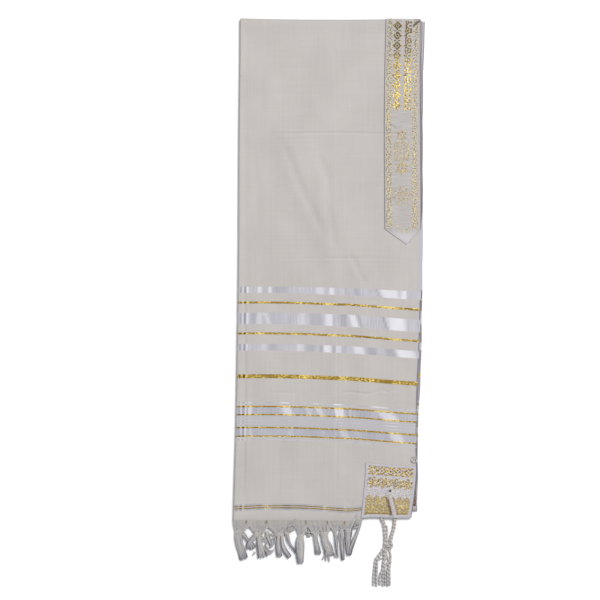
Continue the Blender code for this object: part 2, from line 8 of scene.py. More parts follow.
import bpy
import numpy as np
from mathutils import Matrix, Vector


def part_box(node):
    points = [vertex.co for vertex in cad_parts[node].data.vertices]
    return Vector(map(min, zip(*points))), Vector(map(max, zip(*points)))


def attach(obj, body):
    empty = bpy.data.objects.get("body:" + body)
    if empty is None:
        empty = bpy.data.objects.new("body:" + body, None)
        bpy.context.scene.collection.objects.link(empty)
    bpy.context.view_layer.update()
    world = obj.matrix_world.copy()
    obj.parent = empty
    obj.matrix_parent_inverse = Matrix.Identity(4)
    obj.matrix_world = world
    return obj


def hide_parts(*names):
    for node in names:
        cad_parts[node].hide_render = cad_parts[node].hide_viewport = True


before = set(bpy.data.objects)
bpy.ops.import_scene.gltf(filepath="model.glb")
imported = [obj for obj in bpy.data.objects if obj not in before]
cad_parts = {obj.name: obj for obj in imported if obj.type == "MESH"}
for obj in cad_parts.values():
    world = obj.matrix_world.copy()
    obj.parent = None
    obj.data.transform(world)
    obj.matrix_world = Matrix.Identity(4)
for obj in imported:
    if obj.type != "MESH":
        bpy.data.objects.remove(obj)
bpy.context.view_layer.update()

# Top layer: one cloth of fine acrylic yarn in plain weave, with satin and gold stripes
# woven across it. It is folded at the left, turned over the stack at the top and tucked
# under it, and it keeps the creases of its packing.
MM = 0.001
CLOTH_LENGTH = 860.0
CLOTH_WALL = 1.0
FOLD_RADIUS = 3.75
PRESSED_HEIGHT = 5.9
TOP_PUFF = 26.0
TUCK_LENGTH = 12.0
TURN_STEPS = 14
ROLL_RADIUS = 1.8
ROLL_TURN = math.radians(140.0)
ROLL_STEPS = 9
ROLL_PUFF_AT_HEM = 16.0
ROLL_PUFF_AT_TOP = 9.0
HEM_ROOM = 60.0
SAG_TOP = 500.0
SAG_RUN = 150.0
TOP_ROOM = 240.0
HALF_WIDTH = 155.0
SELVAGE = 4.5
EYELET = (105.4, 50.9)
EYELET_CUT = 3.4
CREASED_COLUMNS = (-143.5, 15.0)
CREASED_ROWS = (446.0, 666.0, 223.0)
WEAVE_SHIFT = 0.2

# The tassel's outermost strand and its foot, seen from the middle of the hem.
TASSEL_LEFT = 75.45
TASSEL_FOOT = -115.0
tassel_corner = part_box("tzitzit")[0]
HEM_MIDDLE = np.array((tassel_corner.x - TASSEL_LEFT * MM, tassel_corner.y - TASSEL_FOOT * MM, 0.0))

EDGES = {
    "columns": ("up", "left", "front", "second", "back"),
    "rows": (
        (0, -163.6, 142, 140.8, 151.9),
        (25, -163, 145, 144.6, 152),
        (52, -162.2, 147.6, 148.6, 152.2),
        (94, -161, 151.6, 152.4, 153.4),
        (138, -159.6, 150.9, 151.9, 153),
        (196, -158.4, 151.5, 152.9, 154.6),
        (250, -157.5, 152.9, 155, 157.4),
        (301, -156.7, 155.3, 157.4, 159.2),
        (378, -155.5, 157.9, 159.3, 160.4),
        (464, -154.6, 159.4, 160.6, 161.8),
        (550, -154.3, 159.2, 160.6, 161.8),
        (636, -153.9, 158.5, 160.2, 161.7),
        (722, -153.1, 158, 159.8, 162),
        (791, -152.2, 157.7, 159.8, 163.2),
        (860, -151.9, 158, 161, 166),
    ),
}
ACROSS = {
    "columns": ("x", "sag", "front_hem", "second_hem", "back_hem", "top_fold"),
    "rows": (
        (-165, 0, 0, 1.5, 3, 2.6),
        (-104, -0.3, 0, 2, 4, 1),
        (-50, 0.6, 0, 2.5, 5, 0.2),
        (6, 2.9, -0.4, 3.5, 6, 0),
        (40, 4.2, 0, 8, 8, 0),
        (62, 5.8, 4.4, 14, 14.6, 0.2),
        (106, 9.5, 4.4, 14.2, 15.2, 0.6),
        (166, 13.8, 4, 14.2, 15.4, 0),
    ),
}
FOLDS = {
    "columns": ("top_x", "top_y", "foot_x", "foot_y", "half_width", "height"),
    "rows": (
        (-88, 680, -18, 500, 18, 1.8),
        (-18, 500, 8, 425, 16, 1.9),
        (-36, 650, 2, 520, 16, 1.8),
        (2, 520, 13, 430, 14, 2.2),
        (13, 430, 14, 70, 13, 1.7),
        (30, 480, 60, 395, 14, 1.7),
        (60, 395, 52, 120, 20, 1.8),
        (112, 415, 116, 120, 22, 2),
        (-116, 400, -112, 60, 24, 1.6),
        (-60, 330, -58, 90, 20, 1.3),
    ),
}
FOLD_ENDS = 45.0
PLEAT = {"top_x": 105.6, "top_y": 52.0, "foot_x": 114.0, "foot_y": 0.0, "half_width": 7.0, "height": 2.4}

# Pressed creases and small wrinkles, each a trough along a line, or a ridge where its
# depth is below 0.
CREASES = {
    "columns": ("half_width", "depth", "line"),
    "rows": (
        (2.2, 0.68, ((-108, 664), (-60, 664.5), (-20, 665.6), (30, 665.6), (98, 664), (150, 663))),
        (2.4, 0.24, ((-112, 449), (0, 450), (60, 450), (150, 448))),
        (2.4, 0.18, ((-108, 442.5), (0, 443), (70, 442), (150, 441))),
        (2.2, 0.5, ((-8, 450.5), (20, 450), (52, 449.5))),
        (2.4, 0.7, ((-144.5, 432), (-143.2, 300), (-144, 160), (-146.5, 6))),
        (2.8, -0.3, ((-139.6, 420), (-138.6, 300), (-139.4, 160), (-142, 20))),
        (2.4, 0.6, ((14.5, 446), (15.5, 330), (15, 200), (13.5, 8))),
        (8, 1.75, ((-87, 664), (-71, 631), (-47, 569), (-33, 542), (-16, 507), (-7, 480))),
        (7, 1.65, ((-17, 632), (-1, 586), (-1, 542), (6, 497), (11, 455))),
        (5.5, 1.3, ((32, 463), (45, 442), (59, 413), (65, 400))),
        (5, 0.45, ((2, 826), (7, 812), (11, 798))),
        (5, 0.3, ((-92, 708), (-86, 690), (-82, 672))),
        (2.2, 0.7, ((29, 37), (37, 28), (44, 19))),
        (2, 0.85, ((12, 217), (40, 221), (66, 216.5), (92, 224), (104, 219), (112, 225))),
        (2, 0.95, ((84, 231), (92, 226), (101, 231), (112, 222), (124, 227), (142, 226))),
        (2.6, 0.4, ((-110, 222), (-70, 218.5), (-44, 221))),
        (3, 0.3, ((98, 800), (101, 700), (99, 640))),
        (2.2, 0.9, ((104, 680), (110, 676), (117, 671))),
        (2.6, 2.1, ((160, 861), (153, 854), (145, 845))),
        (6, 0.35, ((-130, 640), (-120, 560), (-124, 480))),
        (7, 0.3, ((60, 620), (66, 560), (60, 500))),
        (6, 0.3, ((-90, 140), (-84, 90), (-88, 40))),
        (5, 0.28, ((70, 180), (76, 130), (72, 108))),
    ),
}
CREASE_ENDS = 0.18

# Where the warp-wise folds turn the floats of a stripe to the light or away from it: for a
# stretch up the cloth, each bar's middle, its half width, how far it leans to the right for
# each millimetre down, and how bright (up to 1) or dark (down to -1) it is.
BARS = {
    (0, 430): (
        (-151.5, 1.6, 0, -0.9), (-147.6, 1.7, 0, 0.5), (-143.7, 2, 0, -1), (-139.7, 1.7, 0, 0.9),
    ),
    (388, 404): (
        (-118.7, 2.8, 0, 0.75), (-109, 3, 0, -0.3), (-101.5, 1.8, 0, 0.9), (-82, 15, 0, -0.35),
        (-14.5, 7.5, 0, 0.6), (5.4, 4.4, 0, 0.95), (31, 4.5, 0.2, -0.35), (49, 4, 0.1, -0.4),
        (85.5, 1.8, 0.5, -0.6), (107, 18, 0.5, 0.85), (130, 4.6, 0, 0.9), (120, 3, 0.3, -0.4),
    ),
    (366, 382): (
        (-116, 7, 0.4, 0.5), (-52, 7, 0.5, 0.6), (0, 9, 0.3, 0.9), (60, 7, 0.3, 0.35),
        (104, 15, 0.4, 0.75), (22, 8, 0.2, -0.5), (-84, 14, 0, -0.4), (138, 8, 0, -0.4),
    ),
    (334, 360): (
        (-129, 5, 0, -0.3), (-119, 3.2, 0, 0.4), (-106, 2.6, 0.5, 0.4), (-88, 12, 0.2, -0.25),
        (-46, 7, 0, 0.25), (-21, 12, 0, -0.4), (1, 6.8, 0, 0.95), (25, 6, 0, -0.6), (43, 6.5, 0.32, 0.85),
        (54, 2.4, 0.42, -0.55), (97, 2, 0.35, -0.7), (117, 16.5, 0.2, 0.9),
    ),
    (312, 328): (
        (-118, 6, -0.6, 0.7), (-60, 6, 0.4, 0.4), (6, 8, 0.3, 0.85), (34, 6, 0, 0.5), (60, 14, 0, -0.4),
        (116, 12, 0.3, 0.6),
    ),
    (288, 306): (
        (-112, 4, 0, 0.25), (-97, 8, 0, -0.35), (-50, 5, 0, 0.5), (-32, 9, 0, -0.4), (-13.5, 2, 0, -0.6),
        (-2, 7, 0, 1), (9.5, 2, 0, -0.5), (17, 4.5, 0, 0.5), (27, 3.2, 0, -0.5), (52, 9.5, 0.35, 0.8),
        (74, 9.5, 0, -0.5), (106, 9, 0.2, -0.5), (133, 18, 0.4, 0.85),
    ),
    (240, 256): (
        (-100, 12, 0.4, -0.45), (-40, 7, 0.8, 0.55), (24, 7, 0.8, 0.5), (72, 6, 0.8, 0.5),
        (100, 14, 0, -0.35),
    ),
    (178, 206): (
        (-135, 3.2, 0, 0.8), (-72, 8.5, 0.3, 0.85), (-36, 3, 0.4, 0.4), (-16, 5, 0.5, 0.6),
        (18, 8.5, 0.2, 1), (98, 15, 0.9, 0.8), (60, 12, 0, -0.3), (-100, 12, 0, -0.35),
    ),
    (140, 176): (
        (-134, 3.2, 0, 0.5), (-66, 6, 0, 0.3), (25, 7, 0.4, 0.35), (114, 12, 0.5, 0.6),
        (-30, 16, 0, -0.25), (70, 14, 0, -0.25),
    ),
    (10, 32): (
        (0, 260, 0, -0.55),
    ),
    (14, 32): (
        (-106, 8, 0, 0.6), (-70, 7, 0, -0.3), (-6, 4, 0, 0.7), (28, 3, 0, 0.8),
    ),
}

# Stripes at a distance up from the hem; the weave spreads a little towards the right.
STRIPES = {
    "columns": ("thread", "up", "half_left", "half_right"),
    "rows": (
        ("satin", 395.8, 5.2, 6.5), ("gold", 373.9, 1.75, 1.85), ("satin", 346.9, 9.6, 10.7),
        ("gold", 320.9, 1.75, 1.85), ("satin", 297.2, 5.7, 6.3), ("gold", 247.4, 3.4, 3.5),
        ("satin", 202, 0.9, 1.1), ("gold", 195.4, 1.35, 1.4), ("blue satin", 188.4, 5.4, 5.6),
        ("gold", 181.6, 1.3, 1.35), ("satin", 176.6, 0.4, 0.5), ("satin", 171.6, 0.6, 0.8),
        ("satin", 166.4, 0.4, 0.5), ("gold", 159.3, 1.45, 1.5), ("blue satin", 152.2, 5.5, 5.8),
        ("gold", 144.8, 1.3, 1.3), ("satin", 138.6, 0.9, 1), ("satin", 27.8, 0.9, 0.9),
        ("gold", 25.2, 0.9, 0.9), ("gold", 21.6, 1, 1), ("satin", 18.6, 1, 1),
    ),
}


def ease(share):
    """Goes from 0 to 1 with level ends."""
    share = np.clip(share, 0.0, 1.0)
    return share * share * (3.0 - 2.0 * share)


def mix(start, end, share):
    return start + (end - start) * share


def named_rows(table):
    """Each row of a table as a dictionary."""
    return [dict(zip(table["columns"], row)) for row in table["rows"]]


def read_curve(table, name, at):
    """The named column on a smooth curve, at values of the table's first column."""
    rows = np.array(table["rows"], float)
    places = rows[:, 0]
    values = rows[:, table["columns"].index(name)]
    slopes = np.gradient(values, places)
    at = np.clip(at, places[0], places[-1])
    k = np.clip(np.searchsorted(places, at, side="right") - 1, 0, len(places) - 2)
    span = places[k + 1] - places[k]
    s = (at - places[k]) / span
    start = (1 + 2 * s) * (1 - s) ** 2 * values[k] + s * (1 - s) ** 2 * span * slopes[k]
    end = s * s * (3 - 2 * s) * values[k + 1] + s * s * (s - 1) * span * slopes[k + 1]
    return start + end


def places(x, y, z):
    """Points from their coordinates, each a number or a grid."""
    return np.stack(np.broadcast_arrays(x, y, z), axis=-1)


def drawn_on(values, count):
    """A grid with its last row repeated, where the cloth runs on past it."""
    return np.concatenate((values, np.repeat(values[-1:], count, axis=0)))


def top_line(x):
    """Where the fold at the top begins to turn."""
    return CLOTH_LENGTH - FOLD_RADIUS + read_curve(ACROSS, "top_fold", x)


def weft_y(x, up, hem):
    """Place of the weft thread that lies this far up from a layer's hem."""
    sag = read_curve(ACROSS, "sag", x) * ease(up / HEM_ROOM) * ease((SAG_TOP - up) / SAG_RUN)
    from_hem = read_curve(ACROSS, hem, x) * (1.0 - ease(up / HEM_ROOM))
    from_top = read_curve(ACROSS, "top_fold", x) * ease((up - CLOTH_LENGTH + TOP_ROOM) / TOP_ROOM)
    return up - sag + from_hem + from_top


def fold_rise(x, y):
    """Height of the soft folds over the pressed cloth."""
    rise = 0.0
    for fold in named_rows(FOLDS):
        run_x = fold["foot_x"] - fold["top_x"]
        run_y = fold["foot_y"] - fold["top_y"]
        length = math.hypot(run_x, run_y)
        along = ((x - fold["top_x"]) * run_x + (y - fold["top_y"]) * run_y) / length
        aside = ((x - fold["top_x"]) * run_y - (y - fold["top_y"]) * run_x) / length
        start = ease((along + FOLD_ENDS) / (2 * FOLD_ENDS))
        end = ease((length - along + FOLD_ENDS) / (2 * FOLD_ENDS))
        rise = rise + fold["height"] * start * end * np.exp(-((aside / fold["half_width"]) ** 2))
    return rise


def pleat_rise(x, y):
    """Height of the corner's pleat, which fades out at the eyelet."""
    along = (y - PLEAT["top_y"]) / (PLEAT["foot_y"] - PLEAT["top_y"])
    aside = x - mix(PLEAT["top_x"], PLEAT["foot_x"], np.clip(along, 0.0, 1.0))
    return PLEAT["height"] * ease(2.5 * along + 0.5) * np.exp(-((aside / PLEAT["half_width"]) ** 2))


def crease_depth(x, y):
    """Depth of the creases, with shoulders pressed up a little on both sides."""
    depth = 0.0
    for crease in named_rows(CREASES):
        line = crease["line"]
        lengths = [math.dist(a, b) for a, b in zip(line, line[1:])]
        nearest = np.full(np.shape(x), 1e9)
        share = np.zeros(np.shape(x))
        done = 0.0
        for (ax, ay), (bx, by), length in zip(line, line[1:], lengths):
            t = np.clip(((x - ax) * (bx - ax) + (y - ay) * (by - ay)) / length ** 2, 0.0, 1.0)
            gap = np.hypot(x - ax - t * (bx - ax), y - ay - t * (by - ay))
            share = np.where(gap < nearest, (done + t * length) / sum(lengths), share)
            nearest = np.minimum(gap, nearest)
            done += length
        fade = ease(share / CREASE_ENDS) * ease((1.0 - share) / CREASE_ENDS)
        wide = (nearest / crease["half_width"]) ** 2
        depth = depth + crease["depth"] * fade * (1.3 * np.exp(-wide) - 0.3 * np.exp(-wide / 5.0))
    return depth


def slack(x, y):
    """The slow unevenness of cloth that was smoothed by hand."""
    slow = 0.30 * np.sin(x / 33.0 + y / 121.0) * np.sin(y / 67.0 - x / 160.0 + 1.3)
    quick = 0.10 * np.sin(x / 12.0 + y / 57.0 + 0.7) * np.sin(y / 31.0 + x / 90.0)
    return slow + quick


def front_height(x, y, left):
    """Height of the top layer's outer face: it springs up at the left and top folds."""
    puff_width = mix(ROLL_PUFF_AT_HEM, ROLL_PUFF_AT_TOP, ease(y / CLOTH_LENGTH))
    at_left = 1.0 - ease((x - left - ROLL_RADIUS) / puff_width)
    at_top = 1.0 - ease((top_line(x) - y) / TOP_PUFF)
    pressed = PRESSED_HEIGHT + fold_rise(x, y) + pleat_rise(x, y) + slack(x, y)
    puffed = mix(pressed, 2 * FOLD_RADIUS, np.maximum(at_left, at_top))
    return puffed - crease_depth(x, y) * ease((top_line(x) - y + 2.0) / 6.0)


def over_front(x, up, lift=0.0, dip=0.0):
    """Places on the top layer's outer face, or on a trim that lies lift above it."""
    y = weft_y(x, up - dip, "front_hem")
    return places(x, y, front_height(x, y, read_curve(EDGES, "left", up)) + lift)


def round_top(x, height, angle):
    """Places at a height over the stack, carried round the fold at the top."""
    out = height - FOLD_RADIUS
    return places(x, top_line(x) + out * np.sin(angle), FOLD_RADIUS + out * np.cos(angle))


def spaced(low, high, step, close_step=1.0, near=(), reach=0.0):
    """Places from low to high, closer together within reach of some of them."""
    places = [low]
    while places[-1] < high - close_step / 2:
        close = any(abs(places[-1] - place) < reach for place in near)
        places.append(places[-1] + (close_step if close else step))
    return low + (np.array(places) - low) * (high - low) / (places[-1] - low)


def select_only(obj):
    bpy.ops.object.select_all(action="DESELECT")
    obj.select_set(True)
    bpy.context.view_layer.objects.active = obj


def set_modifier(obj, kind, **settings):
    """Adds a modifier to a piece and applies it."""
    select_only(obj)
    modifier = obj.modifiers.new(kind.title(), kind)
    for name, value in settings.items():
        setattr(modifier, name, value)
    bpy.ops.object.modifier_apply(modifier=modifier.name)


def cut_eyelet(obj, radius):
    """Takes out the faces of a cloth round the eyelet's middle."""
    middle = np.array((*EYELET, 0.0)) * MM + HEM_MIDDLE
    select_only(obj)
    bpy.ops.object.mode_set(mode="EDIT")
    bpy.ops.mesh.select_all(action="DESELECT")
    bpy.ops.object.mode_set(mode="OBJECT")
    for face in obj.data.polygons:
        face.select = math.dist(face.center[:2], middle[:2]) < radius * MM
    bpy.ops.object.mode_set(mode="EDIT")
    bpy.ops.mesh.delete(type="FACE")
    bpy.ops.object.mode_set(mode="OBJECT")


def laid_cloth(name, points, across, up, wall, eyelet=0.0, **fields):
    """Cloth through a grid of points, thickened inwards. Its weave map holds how far each
    point lies across and up the cut cloth, in metres, and fields are more values of it."""
    rows, columns = points.shape[:2]
    bpy.ops.mesh.primitive_grid_add(x_subdivisions=columns - 1, y_subdivisions=rows - 1, size=1.0)
    obj = bpy.context.object
    obj.name = name
    mesh = obj.data
    mesh.name = name
    flat = np.empty(len(mesh.vertices) * 3)
    mesh.vertices.foreach_get("co", flat)
    column = np.rint((flat[0::3] + 0.5) * (columns - 1)).astype(int)
    row = np.rint((flat[1::3] + 0.5) * (rows - 1)).astype(int)
    mesh.vertices.foreach_set("co", (points[row, column] * MM + HEM_MIDDLE).ravel())
    corners = np.empty(len(mesh.loops), int)
    mesh.loops.foreach_get("vertex_index", corners)
    level = np.zeros((rows, columns))
    weave = places(across, up, level)[row, column, :2] * MM + WEAVE_SHIFT
    mesh.uv_layers[0].name = "weave"
    mesh.uv_layers[0].uv.foreach_set("vector", weave[corners].ravel())
    for field, values in fields.items():
        attribute = mesh.attributes.new(field, "FLOAT", "POINT")
        attribute.data.foreach_set("value", (level + values)[row, column].astype(np.float32))
    if eyelet:
        cut_eyelet(obj, eyelet)
    set_modifier(obj, "SOLIDIFY", thickness=wall * MM, offset=-1.0)
    mesh.shade_smooth()
    return obj


def gleam_of(x, up):
    """How the folds turn the stripes' floats to the light, from the bars above."""
    gleam = 0.10 * np.sin(x / 7.3 + 2.0 * np.sin(up / 23.0)) * np.sin(x / 19.0 + up / 31.0)
    for (foot, top), bars in BARS.items():
        for middle, half, lean, strength in bars:
            middle = middle + lean * ((foot + top) / 2 - up)
            if foot == 0:
                middle = middle + read_curve(EDGES, "left", up) - read_curve(EDGES, "left", 350.0)
            shape = 1.0 - ease((np.abs(x - middle) - 0.55 * half) / (0.6 * half + 0.5))
            gleam = gleam + np.where((up >= foot) & (up <= top), strength * shape, 0.0)
    return np.clip(gleam, -1.0, 1.0)


def top_layer():
    ups = spaced(0.8, CLOTH_LENGTH - FOLD_RADIUS, 3.3, 1.3, CREASED_ROWS, 9.0)
    ups = np.concatenate(((0.0, 0.35), ups))[:, None]
    middle_x = spaced(-HALF_WIDTH, HALF_WIDTH, 3.3, 1.2, (*CREASED_COLUMNS, HALF_WIDTH), 8.0)
    turns = ROLL_TURN * (1.0 - np.arange(ROLL_STEPS) / ROLL_STEPS)
    right = read_curve(EDGES, "front", ups)
    roll = read_curve(EDGES, "left", ups) + ROLL_RADIUS
    roll_x = roll - ROLL_RADIUS * np.sin(turns)
    roll_z = 2 * FOLD_RADIUS - ROLL_RADIUS * (1.0 - np.cos(turns))
    curl = places(roll_x, weft_y(roll_x, ups, "front_hem"), roll_z)
    flat_x = mix(roll, right, (middle_x + HALF_WIDTH) / (2 * HALF_WIDTH))
    points = np.concatenate((curl, over_front(flat_x, ups)), axis=1)
    end_x = points[-1, :, 0]
    end_z = np.where(np.arange(len(end_x)) < ROLL_STEPS, points[-1, :, 2], 2 * FOLD_RADIUS)
    angles = math.pi * np.arange(1, TURN_STEPS + 1)[:, None] / TURN_STEPS
    turned = round_top(end_x, end_z, angles)
    tucks = TUCK_LENGTH * np.array((0.5, 1.0))[:, None]
    tucked = turned[-1] - places(0.0, tucks, 0.0)
    points = np.concatenate((points, turned, tucked))
    past = np.concatenate((FOLD_RADIUS * angles, math.pi * FOLD_RADIUS + tucks))
    up = np.concatenate((ups, ups[-1] + past))
    extra = len(past)
    across = drawn_on(np.concatenate((roll - ROLL_RADIUS * turns, flat_x), axis=1), extra)
    from_edge = drawn_on(right, extra) - across
    # selvage is 0.95 over the paler selvage and 1 over its last millimetre or two, which the finish paints
    # dark as the shade of the gap under the edge.
    selvage = (1.0 - ease((from_edge - SELVAGE + 1.0) / 2.0)) * mix(0.95, 1.0, ease(2.0 - from_edge))
    # fold is 1 over the cloth turned round the roll at the left and the fold at the top, which the finish
    # paints darker as their shade.
    fold = np.maximum(ease((up - ups[-1] - 0.5) / 3.0), ease((drawn_on(roll, extra) - across) / 2.0))
    return laid_cloth(
        "top_layer", points, across, up, CLOTH_WALL, EYELET_CUT,
        gleam=gleam_of(across, up), selvage=selvage, fold=fold,
    )


def feed(node, inputs):
    """Sets a node's inputs, or links them to what is read elsewhere."""
    for name, value in dict(inputs).items():
        if isinstance(value, Reading):
            node.id_data.links.new(value.socket, node.inputs[name])
        else:
            node.inputs[name].default_value = value


class Reading:
    """A value that a finish reads at each point of a piece, written in sums like a number."""

    def __init__(self, socket):
        self.socket = socket

    def node(self, kind, settings=(), inputs=(), output=0):
        """One more node, with its settings and then its inputs, read at one of its outputs."""
        made = self.socket.id_data.nodes.new("ShaderNode" + kind)
        for name, value in dict(settings).items():
            setattr(made, name, value)
        feed(made, inputs)
        return Reading(made.outputs[output])

    def sum(self, operation, first, second=0.0):
        return self.node("Math", {"operation": operation}, {0: first, 1: second})

    def __add__(self, other):
        return self.sum("ADD", self, other)

    def __sub__(self, other):
        return self.sum("SUBTRACT", self, other)

    def __rsub__(self, other):
        return self.sum("SUBTRACT", other, self)

    def __mul__(self, other):
        return self.sum("MULTIPLY", self, other)

    def __truediv__(self, other):
        return self.sum("DIVIDE", self, other)

    def __mod__(self, other):
        return self.sum("FLOORED_MODULO", self, other)

    def __abs__(self):
        return self.sum("ABSOLUTE", self)

    __radd__ = __add__
    __rmul__ = __mul__

    def most(self, other=0.0):
        return self.sum("MAXIMUM", self, other)

    def least(self, other):
        return self.sum("MINIMUM", self, other)

    def hypot(self, other):
        return self.sum("SQRT", self * self + other * other)

    def wave(self, period):
        """Swings between -1 and 1 once in each period."""
        return self.sum("SINE", self * (2.0 * math.pi / period))

    def over(self, edge, blur):
        """1 over an edge and 0 below it, with a soft step."""
        limits = {"Value": self, "From Min": edge - blur, "From Max": edge + blur}
        return self.node("MapRange", {"interpolation_type": "SMOOTHSTEP"}, limits)

    def under(self, edge, blur):
        return 1.0 - self.over(edge, blur)

    def within(self, low, high, blur):
        return self.over(low, blur) * self.under(high, blur)

    def paint(self, ground, colour):
        """A colour laid over another where this reading is 1."""
        return self.node("Mix", {"data_type": "RGBA"}, {0: self, 6: ground, 7: colour}, 2)

    def cloud(self, other, length, height, detail=2.0):
        """Soft noise around 0.5, with patches of a length this way and a height the other."""
        place = self.node("CombineXYZ", (), {0: self / length, 1: other / height})
        return self.node("TexNoise", (), {"Vector": place, "Scale": 1.0, "Detail": detail})


def screen_colour(red, green, blue):
    """A colour from its screen values, as the shader needs it, both for the pieces' own colours and for
    painted shade, shadow and highlights.
    """
    shares = [value / 255.0 for value in (red, green, blue)]
    linear = [s / 12.92 if s <= 0.04045 else ((s + 0.055) / 1.055) ** 2.4 for s in shares]
    return (*linear, 1.0)


def new_finish(name):
    """A new material, with readings in millimetres of where a point lies in the cloth."""
    material = bpy.data.materials.new(name)
    material.use_nodes = True
    weave = material.node_tree.nodes.new("ShaderNodeUVMap")
    weave.uv_map = "weave"
    place = Reading(weave.outputs[0])
    across, up = [(place.node("SeparateXYZ", (), {0: place}, axis) - WEAVE_SHIFT) / MM for axis in (0, 1)]
    return material, across, up


def field(reading, name):
    return reading.node("Attribute", {"attribute_name": name}, (), 2)


def finish_with(material, height, depth, inputs):
    """Feeds a material's shader; depth is the relief's real depth in millimetres."""
    relief = height.node("Bump", (), {"Distance": depth * MM, "Height": height})
    feed(material.node_tree.nodes["Principled BSDF"], {**inputs, "Normal": relief})
    return material


def dress(obj, material, slot, *nodes):
    """Gives a finished piece its material and hides the solids that it stands for; slot is not used."""
    obj.data.materials.clear()
    obj.data.materials.append(material)
    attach(obj, "root")
    if nodes:
        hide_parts(*nodes)
    return obj


def plain_weave(across, up, thread):
    """Height of threads that go over and under each other by turns."""
    warp = across.wave(2.0 * thread)
    weft = up.wave(2.0 * thread)
    crossing = (warp * weft).over(0.0, 0.25)
    return crossing * abs(warp) + (1.0 - crossing) * abs(weft)


def gold_thread(across, up, gleam):
    """The colour of woven gold yarn: dark between its floats, with painted glints and highlights
    where the folds turn it to the light and painted shade where they turn it away.
    """
    slanted = across + up * 0.8
    floats = slanted.cloud(up, 1.9, 1.5, 1.0)
    sparkle = slanted.cloud(up, 2.6, 2.2, 0.0)
    colour = floats.over(0.46, 0.09).paint(screen_colour(88, 70, 20), screen_colour(158, 127, 44))
    shine = (gleam * 0.32 + sparkle * 1.2 - 0.22).over(0.5, 0.14)
    colour = shine.paint(colour, screen_colour(228, 202, 112))
    return (0.0 - gleam).over(0.62, 0.3).paint(colour, screen_colour(78, 58, 14))


CLOTH_THREAD = 0.62


def cloth_finish():
    material, across, up = new_finish("shawl_cloth")
    gleam, selvage, fold = [field(across, name) for name in ("gleam", "selvage", "fold")]
    share = (across + HALF_WIDTH) / (2 * HALF_WIDTH)
    hang = across.over(5.0, 58.0) * 4.8 + across.under(-140.0, 22.0) * 1.6
    near_hem = up + hang * up.under(45.0, 12.0)
    masks = dict.fromkeys(("satin", "blue satin", "gold"), across * 0.0)
    for thread, middle, half_left, half_right in STRIPES["rows"]:
        half = half_left + (half_right - half_left) * share
        blur = 0.35 if thread == "gold" else 0.5
        mask = abs((near_hem if middle < HEM_ROOM else up) - middle).under(half, blur)
        masks[thread] = masks[thread].most(mask)
    slub = (across.cloud(up, 3.2, 160.0) * 0.55 + up.cloud(across, 2.4, 120.0) * 0.45).over(0.5, 0.22)
    mottle = across.cloud(up, 60.0, 90.0, 3.0).over(0.5, 0.3)
    ground = (slub * 0.4 + mottle * 0.6).paint(screen_colour(178, 173, 169), screen_colour(190, 185, 181))
    ground = (up.within(160.0, 182.0, 0.8) * 0.6).paint(ground, screen_colour(176, 174, 180))
    # Painted shade: where selvage reaches 1, at the very edge, a dark line stands for the shade of the gap
    # under it; from 398 to 505 mm up the line is pale instead.
    rim = up.within(398.0, 505.0, 12.0).paint(screen_colour(122, 117, 122), screen_colour(184, 182, 194))
    ground = selvage.under(0.97, 0.03).paint(rim, selvage.paint(ground, screen_colour(180, 177, 183)))
    # Painted shade on the rolls at the left and the top, where fold is 1.
    ground = (fold * 0.5).paint(ground, screen_colour(118, 112, 110))
    ground = (up.under(5.0, 7.0) * 0.6).paint(ground, screen_colour(170, 165, 161))
    pulled = across.cloud(up, 2.2, 30.0, 3.0).over(0.5, 0.22)
    # Painted highlights and shade: the satin is lighter where gleam says the folds turn its floats to the
    # light and darker where they turn them away.
    bright = gleam.most()
    dark = (0.0 - gleam).most()
    satin = dark.paint(pulled.paint(screen_colour(171, 169, 176), screen_colour(187, 185, 191)), screen_colour(143, 141, 150))
    satin = bright.paint(satin, screen_colour(214, 212, 218))
    blue = (dark * 0.7).paint(pulled.paint(screen_colour(160, 159, 168), screen_colour(177, 176, 184)), screen_colour(139, 138, 149))
    blue = bright.paint(blue, screen_colour(210, 208, 216))
    colour = masks["satin"].paint(ground, satin)
    colour = masks["blue satin"].paint(colour, blue)
    colour = masks["gold"].paint(colour, gold_thread(across, up, gleam))
    smooth = masks["satin"].most(masks["blue satin"])
    weave = plain_weave(across, up, CLOTH_THREAD) * (1.0 - smooth * 0.75)
    return finish_with(material, weave + masks["gold"] * 0.6 + slub * 0.5, 0.09, {
        "Base Color": colour,
        "Roughness": 0.9 - smooth * 0.42 - masks["gold"] * 0.5,
        "Metallic": masks["gold"] * 0.2,
        "Sheen Weight": 0.12,
        "Sheen Roughness": 0.5,
        "Specular IOR Level": 0.3,
    })


cloth_look = cloth_finish()
top_cloth = dress(top_layer(), cloth_look, "cloth", "front_panel")

# Hidden layers: the same cloth goes on round the folds as a second, third and last layer.
# Only their selvages at the right, their hems and the roll at the left show, each with
# the ends of its stripes, and the last lies flat on the floor.
LAYER_WALL = 1.0
SECOND_TOP = 4.35
THIRD_TOP = 2.8
THIRD_FOOT = 1.6
LAYER_GAP = 0.35
LAYER_COLUMNS = 42
LAYER_ROW = 9.0
LAYER_CUT = 4.5
FLAP = 13.0
TOP_ROLL_STEPS = 8
LEFT_ROLL_STEPS = 9


def edge_ripple(x, right, up, phase):
    """Free edges lift and fall a little between the layers."""
    near = ease(1.0 - (right - x) / 9.0)
    return near * 0.14 * np.sin(up / 17.0 + phase) * np.sin(up / 41.0 + 2.0 * phase)


